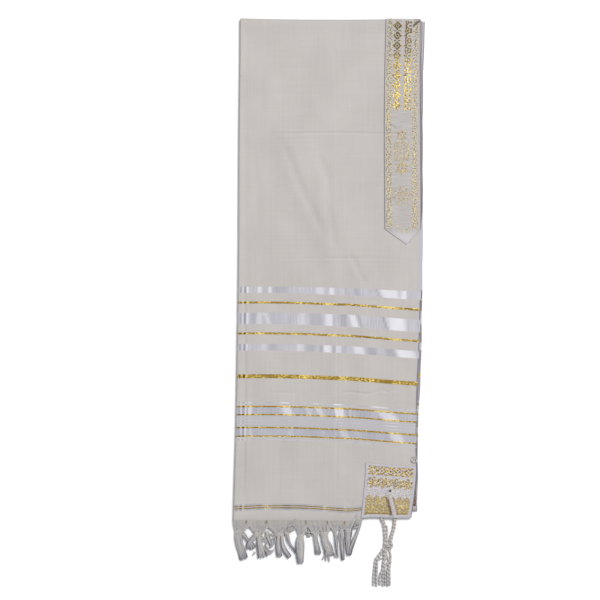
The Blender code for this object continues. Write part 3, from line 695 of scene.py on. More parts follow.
def layer_grid(edge, hem, room, top_room, top, phase):
    """A hidden layer's flat stretch: its points, and how far each lies up its own cloth."""
    ups = spaced(0.0, CLOTH_LENGTH - FOLD_RADIUS - top_room, LAYER_ROW)[:, None]
    left = read_curve(EDGES, "left", ups) + room
    right = read_curve(EDGES, edge, ups) + 0.35 * np.sin(ups / 13.0 + phase)
    x = mix(left, right, ease(np.linspace(0.0, 1.0, LAYER_COLUMNS)) ** 0.9)
    own_up = ups - read_curve(ACROSS, hem, x) * ease(ups / HEM_ROOM)
    # As on the top layer, selvage is 1 over the last millimetre or two, which is painted dark as the shade
    # of the gap under the edge.
    selvage = (1.0 - ease((right - x - 4.0) / 3.0)) * mix(0.95, 1.0, ease((x - right + 1.8) / 0.9))
    return places(x, weft_y(x, ups, hem), top + edge_ripple(x, right, ups, phase)), own_up, selvage


def inner_layers():
    """The second layer, turned down inside the fold at the top, and the third under it."""
    room = ROLL_RADIUS + LAYER_GAP
    second, second_up, second_edge = layer_grid("second", "second_hem", room, 0.0, SECOND_TOP, 0.4)
    third, third_up, third_edge = layer_grid("back", "back_hem", FLAP + 2.0, 0.0, THIRD_FOOT, 1.9)
    middle = (SECOND_TOP + THIRD_FOOT) / 2
    radius = SECOND_TOP - middle
    angles = math.pi * np.arange(1, TOP_ROLL_STEPS)[:, None] / TOP_ROLL_STEPS
    x, y, z = second[-1].T
    turned = places(x, y + radius * np.sin(angles), middle + (z - middle) * np.cos(angles))
    points = np.concatenate((second, turned, third[::-1]))
    up = np.concatenate((second_up, second_up[-1] + radius * angles, third_up[::-1]))
    selvage = np.concatenate((drawn_on(second_edge, len(angles)), third_edge[::-1]))
    return laid_cloth(
        "inner_layers", points, points[:, :, 0], up, LAYER_WALL, LAYER_CUT, gleam=0.0, selvage=selvage
    )


def last_layer():
    """The last layer on the floor, turned up round the roll at the left."""
    room = TUCK_LENGTH + LAYER_GAP
    floor, up, selvage = layer_grid("back", "back_hem", ROLL_RADIUS, room, 0.0, 3.1)
    floor[:, :, 2] = 0.0
    turns = math.pi * np.arange(1, LEFT_ROLL_STEPS + 1) / LEFT_ROLL_STEPS
    roll_x = floor[:, :1, 0] - ROLL_RADIUS * np.sin(turns)
    roll = places(roll_x, floor[:, :1, 1], THIRD_TOP / 2 * (1.0 - np.cos(turns)))
    flap = roll[:, -1:] + np.array((FLAP - ROLL_RADIUS, 0.0, 0.0))
    points = np.concatenate((floor[:, ::-1], roll, flap), axis=1)
    up, selvage = [drawn_on(values.T[::-1], len(turns) + 1).T for values in (up, selvage)]
    return laid_cloth(
        "last_layer", points, points[:, :, 0], up, LAYER_WALL, LAYER_CUT, gleam=0.0, selvage=selvage
    )


inner_cloth = dress(inner_layers(), cloth_look, "under_layers", "folded_layers")
last_cloth = dress(last_layer(), cloth_look, "under_layers", "folded_layers")

# Neckband: a strip of brocade with gold figures, cut to a point and sewn flat over the
# middle of the shawl's long edge with a line of thread near its own edges. It goes over
# the fold at the top with the cloth.
BAND = {
    "columns": ("up", "left", "right"),
    "rows": (
        (480, 96.3, 158.3),
        (500, 96.3, 158.3),
        (596, 95.6, 158),
        (690, 95.4, 157.2),
        (784, 96.4, 156.9),
        (860, 98.2, 157.2),
    ),
}
BAND_SHOULDER = 500.0
BAND_POINT = 25.5
BAND_POINT_ROOM = 110.0
BAND_POINT_SHARE = 0.6
BAND_TURN = math.radians(128.0)
BAND_TURN_STEPS = 10
BAND_COLUMNS = 31
BAND_WIDTH = 62.0
BAND_MIDDLE = 29.9
TRIM_LIFT = 1.3
TRIM_WALL = 0.8
TRIM_EDGE = 2.2
TRIM_EDGE_DROP = 0.35
SEAM_INSET = 2.6
SEAM_DROP = 0.22


def trim_lift(from_edge):
    """A trim's lift over the cloth: pressed down at its edges and along its seam."""
    edge = TRIM_EDGE_DROP * (1.0 - ease(from_edge / TRIM_EDGE))
    seam = SEAM_DROP * np.exp(-((from_edge - SEAM_INSET) / 0.9) ** 2)
    return TRIM_LIFT - edge - seam


def point_dip(share, up):
    """How far a row dips to follow the neckband's point."""
    side = np.minimum(share / BAND_POINT_SHARE, (1.0 - share) / (1.0 - BAND_POINT_SHARE))
    return BAND_POINT * side * np.maximum(0.0, 1.0 - np.abs(up - BAND_SHOULDER) / BAND_POINT_ROOM)


def band_places(share, up):
    """Places on the neckband, how far they lie from its left edge, and up the cloth."""
    left = read_curve(BAND, "left", up)
    width = read_curve(BAND, "right", up) - left
    dip = point_dip(share, up)
    slant = np.hypot(1.0, BAND_POINT / (BAND_POINT_SHARE * width))
    from_foot = (up - BAND_SHOULDER) / slant
    from_edge = np.minimum(np.minimum(share, 1.0 - share) * width, from_foot)
    points = over_front(left + share * width, up, trim_lift(from_edge), dip)
    return points, share * width, up - dip


def neckband():
    shares = np.concatenate(((0.0, 0.02, 0.04), np.linspace(0.065, 0.935, BAND_COLUMNS), (0.96, 0.98, 1.0)))
    ups = spaced(BAND_SHOULDER, CLOTH_LENGTH - FOLD_RADIUS, 3.3, 1.2, (BAND_SHOULDER, 666.0, 674.0), 7.0)
    points, across, up = band_places(shares, ups[:, None])
    angles = BAND_TURN * np.arange(1, BAND_TURN_STEPS + 1)[:, None] / BAND_TURN_STEPS
    turned = round_top(points[-1, :, 0], 2 * FOLD_RADIUS + TRIM_LIFT, angles)
    up = np.concatenate((up, up[-1] + (FOLD_RADIUS + TRIM_LIFT) * angles))
    # rim is 1 along both edges of the band, which the brocade finish paints dark as the shade of the band's
    # edge.
    rim = 1.0 - ease(np.minimum(across, across[:, -1:] - across) / 1.1)
    across, rim = [drawn_on(values, len(angles)) for values in (across, rim)]
    return laid_cloth("neckband_brocade", np.concatenate((points, turned)), across, up, TRIM_WALL, rim=rim)


def chain(side, along, period, swing, stroke):
    """Two vines that cross and part, with a bead in each eye, in dotted stitches."""
    swung = along.wave(period) * swing
    vines = abs(side - swung).under(stroke, 0.25).most(abs(side + swung).under(stroke, 0.25))
    eye = abs((along + period / 4) % (period / 2) - period / 4)
    bead = (eye + abs(side)).under(1.1 * stroke + 0.35, 0.25)
    dots = (along + abs(swung) * 0.8).wave(period / 3).over(-0.1, 0.5)
    return (vines * (dots * 0.8 + 0.2)).most(bead)


def ring(side, along, radius, stroke):
    """The outline of a circle."""
    return abs(side.hypot(along) - radius).under(stroke, 0.25)


def diamond(side, along, radius, stroke):
    """The outline of a square that stands on its corner."""
    return abs(abs(side) + abs(along) - radius).under(stroke * 1.4, 0.3)


def star(side, along, radius, stroke):
    """The outline of a star of two triangles."""
    slope = abs(side) * 0.866
    first = (slope + along * 0.5).most(0.0 - along)
    second = (slope - along * 0.5).most(along)
    inner = radius / 2
    return abs(first - inner).under(stroke, 0.25).most(abs(second - inner).under(stroke, 0.25))


def rosette(side, along, radius, petals, stroke):
    """The outline of a flower, with a bead at its middle."""
    far = side.hypot(along)
    turn = side.sum("ARCTAN2", along, side)
    edge = 0.74 + turn.wave(2.0 * math.pi / petals) * 0.26
    return abs(far - edge * radius).under(stroke, 0.3).most(far.under(stroke * 1.3, 0.3))


def lattice(side, along, cell, stroke):
    """Crossing slanted lines with a bead in each cell."""
    one = abs((side + along) % cell - cell / 2)
    other = abs((side - along) % cell - cell / 2)
    bead = one.most(other).under(cell / 7, 0.25)
    return one.over(cell / 2 - stroke, 0.25).most(other.over(cell / 2 - stroke, 0.25)).most(bead)


BORDER_PLACE = 22.2
BORDER_END = 512.0
FIGURE_ROW = 17.0
FIGURE_TOP = 857.0
FIGURE_FOOT = 704.0


def figure_thread(across, up, gleam, grain):
    """The gold of woven figures: its floats end at every few threads, so it glitters, and the
    glints are painted into its colour where gleam is high.
    """
    slanted = across + up * 0.7
    floats = slanted.cloud(up, grain, grain, 1.0)
    glint = up.cloud(slanted, 1.2 * grain, grain, 0.0)
    colour = floats.over(0.47, 0.07).paint(screen_colour(92, 74, 28), screen_colour(168, 138, 56))
    return (glint + gleam * 0.2).over(0.53, 0.05).paint(colour, screen_colour(234, 208, 112))


def beaded_star(side, along, radius, stroke, bead, blur):
    """A star's outline with a bead at its middle."""
    return star(side, along, radius, stroke).most((side * side + along * along).under(bead, blur))


def band_figures(across, up):
    """The neckband's gold figures: borders, two rows of small motifs, and two ornaments."""
    side = across - BAND_MIDDLE
    border = chain(abs(side) - BORDER_PLACE, up, 9.4, 2.8, 0.85) * up.over(BORDER_END, 0.5)
    foot = BORDER_END - 17.0 + abs(side - 4.0) * 0.66
    turned = chain(up - foot, side, 9.4, 2.7, 1.0) * abs(side).under(BORDER_PLACE + 2.5, 0.5)
    border = border.most(turned * up.under(BORDER_END + 1.0, 0.5))
    first_side = side + 9.2
    first_up = (up - FIGURE_FOOT) % FIGURE_ROW - FIGURE_ROW / 2
    first = diamond(first_side, first_up, 5.8, 1.5).most((abs(first_side) + abs(first_up)).under(2.4, 0.3))
    between = abs((up - FIGURE_FOOT + FIGURE_ROW / 2) % FIGURE_ROW - FIGURE_ROW / 2)
    first = first.most(between.under(1.1, 0.3) * abs(first_side).within(1.6, 5.8, 0.3))
    second_side = side - 8.6
    second = rosette(second_side, between, 6.2, 4, 1.45)
    ticks = abs(first_up).under(1.2, 0.3) * abs(abs(second_side) - 3.6).under(2.4, 0.3)
    small = first.most(second).most(ticks) * up.within(FIGURE_FOOT, FIGURE_TOP, 0.4)
    stars = beaded_star(side, up - 661.0, 8.8, 1.1, 4.5, 1.5)
    stars = stars.most(beaded_star(side, up - 605.0, 11.0, 1.2, 7.0, 2.0))
    inside = abs(side).under(10.6, 0.4) * abs(up - 634.0).under(14.5, 0.4)
    frame_line = abs(side).under(12.4, 0.4) * abs(up - 634.0).under(16.2, 0.4) - inside
    block = lattice(side, up - 634.0, 7.1, 0.95) * inside
    round_up = up - 557.0
    medals = abs(side.hypot(round_up) - 16.0).under(0.9, 0.6) * 0.5
    medals = medals.most(rosette(side, round_up, 14.0, 8, 1.5)).most(rosette(side, round_up, 7.4, 8, 1.3))
    return border, small, stars.most(frame_line).most(medals), block


def brocade_finish():
    material, across, up = new_finish("neckband_brocade")
    border, small, figures, block = band_figures(across, up)
    grain = across.cloud(up, 2.3, 2.3, 0.0)
    worn = grain.over(0.5, 0.05)
    strength = (border * (0.1 + worn * 0.7)).most(small * (0.95 + worn * 0.05))
    strength = strength.most(figures * (0.3 + worn * 0.5)).most(block * (0.3 + worn * 0.3))
    gleam = up.cloud(across, 60.0, 34.0, 1.0) * 1.2 - 0.7 - up.over(800.0, 16.0) - (figures + block) * 0.55
    side = abs(across - BAND_MIDDLE)
    satin = up.cloud(across, 1.2, 26.0).over(0.5, 0.3).paint(screen_colour(162, 157, 154), screen_colour(182, 177, 174))
    specks = up.cloud(across, 2.2, 2.4, 0.0)
    in_border = side.within(BORDER_PLACE - 5.0, BORDER_PLACE + 4.6, 0.5) * up.over(500.0, 6.0)
    satin = (specks.over(0.62, 0.03) * in_border * 0.6).paint(satin, screen_colour(222, 200, 122))
    satin = (specks.under(0.42, 0.02) * (in_border * 0.6 + 0.1)).paint(satin, screen_colour(106, 94, 70))
    satin = up.under(494.0, 8.0).paint(satin, screen_colour(188, 184, 186))
    # Painted shade: a dark line along both edges of the band, where rim is 1.
    satin = field(across, "rim").paint(satin, screen_colour(112, 104, 97))
    gold = figure_thread(across, up, gleam, 2.5)
    gold = (up.over(795.0, 22.0) * grain.over(0.42, 0.05) * 0.85).paint(gold, screen_colour(58, 44, 12))
    # Painted shade: a dark line in the crease across the band's top right corner.
    crease = abs((up - 848.0) * 0.76 - (across - 47.0) * 0.65).under(1.5, 0.9) * across.over(46.5, 1.5)
    rib = abs((across + up * 0.5) % 1.5 - 0.75)
    return finish_with(material, rib * 0.5 + strength * 0.9, 0.14, {
        "Base Color": (crease * 0.9).paint(strength.paint(satin, gold), screen_colour(74, 64, 62)),
        "Roughness": 0.55 - strength * 0.15,
        "Metallic": strength * 0.2,
        "Sheen Weight": 0.08,
        "Specular IOR Level": 0.4,
    })


band = dress(neckband(), brocade_finish(), "brocade", "neckband")

STITCH = 2.6
STITCH_GAP = 1.1
STITCH_WIDTH = 0.32
STITCH_RISE = 0.22
FLOOR_GAP = 0.05


def smooth_line(points, step):
    """Even places on a smooth curve through points."""
    points = np.array(points, float)
    ends = np.vstack((2 * points[0] - points[1], points, 2 * points[-1] - points[-2]))
    line = []
    for a, b, c, d in zip(ends, ends[1:], ends[2:], ends[3:]):
        count = max(1, math.ceil(np.linalg.norm(c - b) / step))
        for t in np.arange(count) / count:
            bend = (c - a) * t + (2 * a - 5 * b + 4 * c - d) * t ** 2 + (3 * b - a - 3 * c + d) * t ** 3
            line.append(b + 0.5 * bend)
    line.append(points[-1])
    return np.array(line)


def lengths_along(line):
    """How far each place lies along a line."""
    return np.concatenate(((0.0,), np.cumsum(np.linalg.norm(np.diff(line, axis=0), axis=1))))


def directions(line):
    ways = np.gradient(line, axis=0)
    return ways / np.linalg.norm(ways, axis=1)[:, None]


def spin(line, radius, shade=0.0, sides=8, plies=2, lay=8.0, lobe=0.16, tip=0.6, start=1.0, phase=0.0):
    """A spun yarn along a line: rings of points whose plies wind round it, how far along
    each ring lies, and the yarn's shade."""
    side = np.array((1.0, 0.0, 0.0))
    first = directions(line)[0]
    if np.linalg.norm(np.cross(first, (0.0, 0.0, 1.0))) > 0.1:
        side = np.cross(first, (0.0, 0.0, 1.0))
    far = lengths_along(line)
    turns = 2.0 * math.pi * np.arange(sides) / sides
    rings = []
    for place, tangent, way in zip(line, directions(line), far):
        side = side - tangent * np.dot(side, tangent)
        side /= np.linalg.norm(side)
        above = np.cross(tangent, side)
        begun = ease(way / (2 * radius))
        ending = ease((far[-1] - way) / (2 * radius))
        size = radius * mix(start, 1.0, begun) * mix(tip, 1.0, ending)
        twist = plies / 2 * (turns - 2.0 * math.pi * (way / lay + phase))
        wound = size * (1.0 - lobe + lobe * np.abs(np.cos(twist)))
        rings.append(place + np.outer(np.cos(turns) * wound, side) + np.outer(np.sin(turns) * wound, above))
    return np.array(rings), far + 3.4 * phase, shade


def yarn_piece(name, yarns):
    """One mesh of many yarns, with the way along and round each in its weave map."""
    points, faces, weave, shades = [], [], [], []
    start = 0
    for rings, far, shade in yarns:
        count, sides = rings.shape[:2]
        rings[:, :, 2] = np.maximum(rings[:, :, 2], FLOOR_GAP)
        shades.append(np.repeat(shade + 0.0 * far, sides))
        points.append(rings.reshape(-1, 3) * MM + HEM_MIDDLE)
        for i in range(count - 1):
            for k in range(sides):
                after = (k + 1) % sides
                low = start + i * sides
                faces.append((low + k, low + after, low + sides + after, low + sides + k))
                weave += [(k, far[i]), (k + 1, far[i]), (k + 1, far[i + 1]), (k, far[i + 1])]
        for ring_start, order, way in ((start, -1, far[0]), (start + (count - 1) * sides, 1, far[-1])):
            faces.append(tuple(ring_start + k for k in range(sides))[::order])
            weave += [(k, way) for k in range(sides)][::order]
        start += count * sides
    mesh = bpy.data.meshes.new(name)
    mesh.from_pydata(np.concatenate(points).tolist(), [], faces)
    layer = mesh.uv_layers.new(name="weave")
    layer.uv.foreach_set("vector", (np.array(weave) * MM + WEAVE_SHIFT).ravel())
    # The shade attribute: painted shade and shadow on the yarns, and each yarn's own tone.
    painted_shade_and_tone = mesh.attributes.new("shade", "FLOAT", "POINT")
    painted_shade_and_tone.data.foreach_set("value", np.concatenate(shades).astype(np.float32))
    mesh.shade_smooth()
    obj = bpy.data.objects.new(name, mesh)
    bpy.context.scene.collection.objects.link(obj)
    return obj


def stitch(line, radius):
    """One stitch of sewing thread."""
    return spin(line, radius, sides=5, lobe=0.0, tip=0.7, start=0.7)


def seam(line):
    """Stitches along a line of places on a trim: each dips in at both of its ends."""
    line = smooth_line(line, 0.6)
    far = lengths_along(line)
    stitches = []
    for begin in np.arange(0.0, far[-1] - STITCH, STITCH + STITCH_GAP):
        ways = begin + STITCH * np.linspace(0.0, 1.0, 5)
        x, y, z = [np.interp(ways, far, values) for values in line.T]
        lifts = STITCH_RISE * np.array((-1.0, 0.6, 1.0, 0.6, -1.0))
        stitches.append(stitch(places(x, y, z + lifts), STITCH_WIDTH))
    return stitches


def thread_finish():
    material, around, along = new_finish("sewing_thread")
    twist = ((along * 4.0 + around) % 1.0).over(0.5, 0.3)
    colour = twist.paint(screen_colour(174, 168, 164), screen_colour(204, 200, 198))
    return finish_with(material, twist, 0.05, {"Base Color": colour, "Roughness": 0.6})


def band_seams():
    """Both long seams and the two along the neckband's point."""
    ups = np.arange(BAND_SHOULDER + 3.0, CLOTH_LENGTH - 8.0, 6.0)
    low = SEAM_INSET / BAND_WIDTH
    lines = [band_places(share, ups)[0] for share in (low, 1.0 - low)]
    for shares in (np.linspace(0.06, BAND_POINT_SHARE, 9), np.linspace(BAND_POINT_SHARE, 0.95, 7)):
        lines.append(band_places(shares, BAND_SHOULDER + SEAM_INSET * 1.2)[0])
    return [sewn for line in lines for sewn in seam(line)]


thread_look = thread_finish()
band_thread = dress(yarn_piece("neckband_stitches", band_seams()), thread_look, "brocade")

# Corner patch: a square of satin with gold figures, its border oversewn with white silk,
# on the cloth's lower right corner. An eyelet, worked over with thread, goes through both
# and a pleat runs from it to the hem, over the tassel's cord.
PATCH_LEFT = 0.717
PATCH_RIGHT = 0.994
PATCH_HEIGHT = 104.5
PATCH_WIDTH = 86.5
PATCH_BORDER = 3.5
PATCH_RIM = 0.35
PATCH_STEP = 1.9
PATCH_EDGE = 4.6
EYELET_RADIUS = 1.85
EYELET_STITCHES = 26


def patch_places(share, up):
    """Places on the patch, and how far each lies from its left edge."""
    left = read_curve(EDGES, "left", up)
    width = read_curve(EDGES, "front", up) - left
    low = left + PATCH_LEFT * width
    high = left + PATCH_RIGHT * width
    x = mix(low, high, share)
    from_edge = np.minimum(np.minimum(x - low, high - x), np.minimum(up, PATCH_HEIGHT - up))
    rim = PATCH_RIM * ease(from_edge / 0.8) * (1.0 - ease((from_edge - PATCH_BORDER + 1.0) / 1.2))
    ripple = 0.12 * np.sin(x / 5.1 + up / 17.0) * np.sin(up / 8.3 - x / 23.0)
    return over_front(x, up, trim_lift(from_edge) + rim + ripple), share * PATCH_WIDTH


def patch_lines(length):
    """Places along a side of the patch, closer together near both of its ends."""
    return spaced(0.0, length, PATCH_STEP, 0.9, (0.0, PATCH_EDGE, length - PATCH_EDGE, length), 2.6)


def corner_patch():
    up = patch_lines(PATCH_HEIGHT)[:, None]
    points, across = patch_places(patch_lines(PATCH_WIDTH) / PATCH_WIDTH, up)
    obj = laid_cloth("patch_on_corner", points, across, up, TRIM_WALL)
    place = np.array((*EYELET, PRESSED_HEIGHT)) * MM + HEM_MIDDLE
    bpy.ops.mesh.primitive_cylinder_add(vertices=24, radius=EYELET_RADIUS * MM, depth=0.02, location=place)
    punch = bpy.context.object
    set_modifier(obj, "BOOLEAN", operation="DIFFERENCE", object=punch)
    bpy.data.objects.remove(punch)
    obj.data.shade_smooth()
    return obj


def patch_figures(across, up, pleat_side):
    """The patch's gold figures: two rows of small motifs over a field of lattice."""
    first_side = (across - 5.6) % 15.2 - 7.6
    first_up = up - 93.6
    first = diamond(first_side, first_up, 6.6, 1.25).most((abs(first_side) + abs(first_up)).under(2.3, 0.3))
    corner = abs(abs(first_side) - 7.6)
    first = first.most(abs(abs(first_up) - 6.3).under(1.1, 0.3) * corner.under(4.0, 0.3))
    first = first.most((corner + abs(first_up) * 0.5).under(1.6, 0.3))
    first = first * across.within(5.4, 81.8, 0.4)
    second_side = (across - 4.6) % 19.4 - 9.7
    second_up = up - 73.2
    second = rosette(second_side, second_up, 8.8, 6, 1.35).most(ring(second_side, second_up, 3.6, 1.0))
    apart = abs(abs(second_side) - 9.7)
    second = second.most((apart * 1.6 + abs(abs(second_up) - 4.2)).under(3.4, 0.4))
    second = second * across.within(4.8, 82.2, 0.4)
    scallop = abs((across - 4.0) % 13.0 - 6.5)
    top = 50.0 - scallop * scallop * 0.2
    gate = abs(pleat_side).over(3.4, 0.9)
    block = up.over(6.4, 0.4) * up.under(top, 0.4) * across.within(4.6, 82.0, 0.4) * gate
    edge_line = abs(up - top + 1.6).under(1.1, 0.3)
    base_line = abs(up - 7.8).under(1.3, 0.3)
    flower = rosette(scallop, up - 37.0, 5.6, 8, 1.0)
    fill = lattice(across, up - 17.0, 7.8, 1.1) * up.under(28.0, 0.4)
    return first.most(second), edge_line.most(base_line).most(flower).most(fill) * block, block


def patch_finish():
    material, across, up = new_finish("corner_patch_satin")
    from_side = across.least(PATCH_WIDTH - across)
    from_end = up.least(PATCH_HEIGHT - up)
    border = from_side.least(from_end).under(PATCH_BORDER - 0.8, 0.4)
    upright = from_side.sum("LESS_THAN", from_side, from_end)
    oversewn = upright * up.wave(1.5) + (1.0 - upright) * across.wave(1.5)
    silk = oversewn.over(0.0, 0.8).paint(screen_colour(158, 155, 164), screen_colour(200, 198, 206))
    pleat_side = across - (46.5 + (48.0 - up) * 0.27)
    figures, arches, block = patch_figures(across, up, pleat_side)
    worn = across.cloud(up, 2.2, 2.2, 0.0).over(0.44, 0.06)
    strength = (figures * (0.8 + worn * 0.2)).most(arches * 0.9).most(block * (0.3 + worn * 0.45))
    streak = up.cloud(across, 1.0, 14.0)
    specks = up.cloud(across, 2.2, 2.3, 0.0)
    satin = streak.over(0.5, 0.3).paint(screen_colour(168, 164, 171), screen_colour(192, 188, 196))
    satin = (specks.over(0.6, 0.03) * 0.5).paint(satin, screen_colour(214, 200, 150))
    satin = (specks.under(0.4, 0.03) * 0.5).paint(satin, screen_colour(132, 126, 126))
    # Painted shade on both sides of the pleat below the eyelet, stronger on its left, over the gold and the
    # satin.
    left_pleat_shade = abs(pleat_side + 5.6).under(2.9, 1.6) * up.under(50.0, 6.0)
    right_pleat_shade = abs(pleat_side - 5.4).under(2.2, 1.6) * up.under(50.0, 6.0)
    gold = figure_thread(across, up, up.cloud(across, 18.0, 22.0, 1.0) * 2.0 - 1.5, 2.7)
    gold = (block * 0.2).paint(gold, screen_colour(176, 158, 98))
    gold = (up.under(8.6, 0.8) * 0.8).paint(gold, screen_colour(112, 84, 20))
    gold = (left_pleat_shade * 0.85 + right_pleat_shade * 0.4).paint(gold, screen_colour(84, 58, 16))
    satin = (left_pleat_shade * 0.45 + right_pleat_shade * 0.2).paint(satin, screen_colour(124, 110, 96))
    return finish_with(material, strength * 0.9 + border * oversewn * 0.5 + streak * 0.4, 0.16, {
        "Base Color": border.paint(strength.paint(satin, gold), silk),
        "Roughness": 0.5 - strength * 0.12,
        "Metallic": strength * 0.2,
        "Sheen Weight": 0.08,
        "Specular IOR Level": 0.45,
    })


def patch_seams():
    """A seam inside each of the patch's four edges, and the eyelet's buttonhole stitches."""
    low = SEAM_INSET / PATCH_WIDTH
    shares = np.linspace(low, 1.0 - low, 16)
    ups = np.linspace(SEAM_INSET, PATCH_HEIGHT - SEAM_INSET, 16)
    lines = [patch_places(shares, up)[0] for up in (ups[0], ups[-1])]
    lines += [patch_places(share, ups)[0] for share in (low, 1.0 - low)]
    stitches = [sewn for line in lines for sewn in seam(line)]
    height = front_height(*np.array(EYELET), -162.0) + TRIM_LIFT
    middle = np.array((*EYELET, height))
    outs = EYELET_RADIUS + np.array((-0.1, 0.0, 0.8, 1.6))
    for turn in 2.0 * math.pi * np.arange(EYELET_STITCHES) / EYELET_STITCHES:
        reach = places(outs * math.cos(turn), outs * math.sin(turn), (-0.5, 0.1, 0.3, 0.0))
        stitches.append(stitch(middle + reach, 0.28))
    return stitches


patch = dress(corner_patch(), patch_finish(), "patch_satin", "corner_patch")
patch_thread = dress(yarn_piece("patch_stitches", patch_seams()), thread_look, "patch_satin")

# Second corner patch: the same satin square on a lower layer, of which only the edge shows
# beyond the right edge, with a line of its gold.
UNDER_PATCH_LOW = 13.0
UNDER_PATCH_HIGH = 65.0
UNDER_PATCH_ROOM = 1.0
UNDER_PATCH_TOP = 4.15
UNDER_PATCH_LAID = 3.3
UNDER_PATCH_HIDDEN = 12.0
UNDER_PATCH_WALL = 0.65


def under_patch():
    ups = np.linspace(UNDER_PATCH_LOW, UNDER_PATCH_HIGH, 30)[:, None]
    over = read_curve(EDGES, "second", ups)
    high = read_curve(EDGES, "back", ups) - UNDER_PATCH_ROOM
    x = mix(over - UNDER_PATCH_HIDDEN, high, np.linspace(0.0, 1.0, 18))
    z = mix(UNDER_PATCH_LAID, UNDER_PATCH_TOP, ease((x - over) / (1.5 * UNDER_PATCH_ROOM)))
    points = places(x, weft_y(x, ups, "back_hem"), z)
    across = PATCH_WIDTH - (high - x) - 0.4
    return laid_cloth("lower_patch", points, across, ups + 12.0, UNDER_PATCH_WALL)


def under_patch_finish():
    material, across, up = new_finish("under_patch_satin")
    oversewn = up.wave(1.1)
    silk = oversewn.over(0.0, 0.8).paint(screen_colour(180, 176, 188), screen_colour(214, 211, 220))
    grain = across.cloud(up, 1.6, 2.4, 1.0).over(0.45, 0.1)
    line = abs(across - (PATCH_WIDTH - 2.8)).under(1.7, 0.4) * (0.6 + grain * 0.4)
    foot = abs(up - 29.5).under(3.2, 0.8) * abs(across - (PATCH_WIDTH - 5.8)).under(2.6, 0.6)
    colour = foot.paint(line.paint(silk, screen_colour(128, 96, 26)), screen_colour(92, 46, 14))
    inputs = {"Base Color": colour, "Roughness": 0.5, "Sheen Weight": 0.08}
    return finish_with(material, oversewn, 0.12, inputs)


lower_patch = dress(under_patch(), under_patch_finish(), "patch_satin", "corner_patch_under")

# Fringes: the warp's ends, gathered from a stretch of the hem into an overhand knot, from
# which they hang on as plied yarns. A second row of the layers below shows between them.
# A bundle's bare stretch, in shares of its own width, has lost its yarns.
BUNDLE = ("hem_left", "hem_right", "knot_x", "knot_drop", "knot_width", "bare")
FRONT_BUNDLES = (
    (-163, -130.5, -154, 22, 12.5), (-140.5, -99, -119, 24, 10), (-109.5, -70, -83, 25, 9),
    (-75, -52.5, -71, 21, 7), (-60, -33, -46.8, 26, 9), (-41.5, -12, -22.5, 23, 8.5),
    (-20, 4, -6.5, 23, 11), (-2.5, 18, 11.6, 20, 4.5), (13, 31, 22.5, 18, 5.5),
    (25.5, 42, 33, 16, 10), (40.6, 56.5, 47.5, 9, 9),
)
BACK_BUNDLES = (
    (-158, -118, -143, 7.5, 9), (-117.4, -78, -108, 7.5, 9),
    (-77.4, -14, -33.5, 25, 9, (0.05, 0.55)), (-13.4, 34, -3, 20, 6, (0.3, 0.97)),
)
# Locks that hang on from the knots: a layer over the last one, rounded lobes at the foot,
# and the lock's route with its half width.
FRONT_LOCKS = (
    (0, 3, (
        (-155.5, -17, 6.6), (-154.4, -31, 7), (-152.4, -44, 7.2), (-148.8, -56, 7.8), (-145.3, -68.5, 9))),
    (0.6, 2, ((-148, -22, 3.6), (-139.5, -31.5, 3.4), (-131.5, -40, 3.6), (-126.8, -49, 2.8))),
    (1.4, 2, ((-121.5, -20, 4.4), (-130, -31, 4.4), (-136.6, -39.5, 4.6), (-139.4, -49.5, 4.2))),
    (0, 2, ((-135.5, -33, 3.4), (-133.6, -42, 3.8), (-131.8, -52, 3.2))),
    (0.6, 4, ((-119, -24, 3.6), (-118.8, -38, 4.6), (-116.4, -50, 7.6), (-112.8, -65.5, 10.2))),
    (0, 2, ((-105, -18, 4), (-103.4, -30, 3.4), (-99.8, -40, 3.4), (-98, -48, 2.4))),
    (0.8, 2, ((-86.5, -22, 3.4), (-86.6, -36, 3.3), (-86, -49, 4.8), (-84.6, -64.5, 6.6))),
    (0.2, 2, ((-80, -22, 3.6), (-79.4, -38, 3.4), (-75, -51, 4.4), (-65.4, -65, 5))),
    (0.4, 2, ((-71.4, -18, 3.2), (-68.6, -32, 2.9), (-63.4, -45, 2.7), (-54.6, -58, 2.4))),
    (0.9, 3, ((-47, -24, 4.4), (-49, -37, 8), (-49.2, -50, 8), (-48.8, -62, 6.8), (-47.8, -75.5, 5.6))),
    (0.4, 2, ((-23.2, -21, 4.4), (-22.2, -35, 4), (-19.2, -47, 5.4), (-17.6, -60, 6.8))),
    (0.8, 4, ((-6.8, -20, 5.8), (-5.6, -35, 6.6), (-0.8, -47, 8.6), (1.8, -63, 9.4))),
    (0.2, 1, ((11.6, -18, 2.3), (12.2, -31, 2.4), (14, -45, 2.5), (16.8, -65, 2))),
    (0.8, 2, ((22.3, -16, 3), (22.8, -31, 3.2), (23.8, -47, 3.5), (25.2, -70, 3.6))),
    (0.2, 2, ((33, -13, 5.2), (33.6, -27, 5.6), (34.2, -42, 5.6), (34.6, -61.5, 4.6))),
    (1.2, 1, ((48.6, 13, 3.4), (45, 2, 3.9), (40.6, -8, 3.8), (37.4, -18, 3.4), (35.6, -34, 3))),
    (0.8, 2, (
        (56, 5, 3), (53.6, -8, 3.2), (50, -20, 2.9), (43.6, -34, 3.8), (38.4, -48, 3.8), (36, -61, 3.4))),
)
BACK_LOCKS = (
    (0, 1, ((-33.5, -20, 3.6), (-33, -27.5, 3.4))),
)
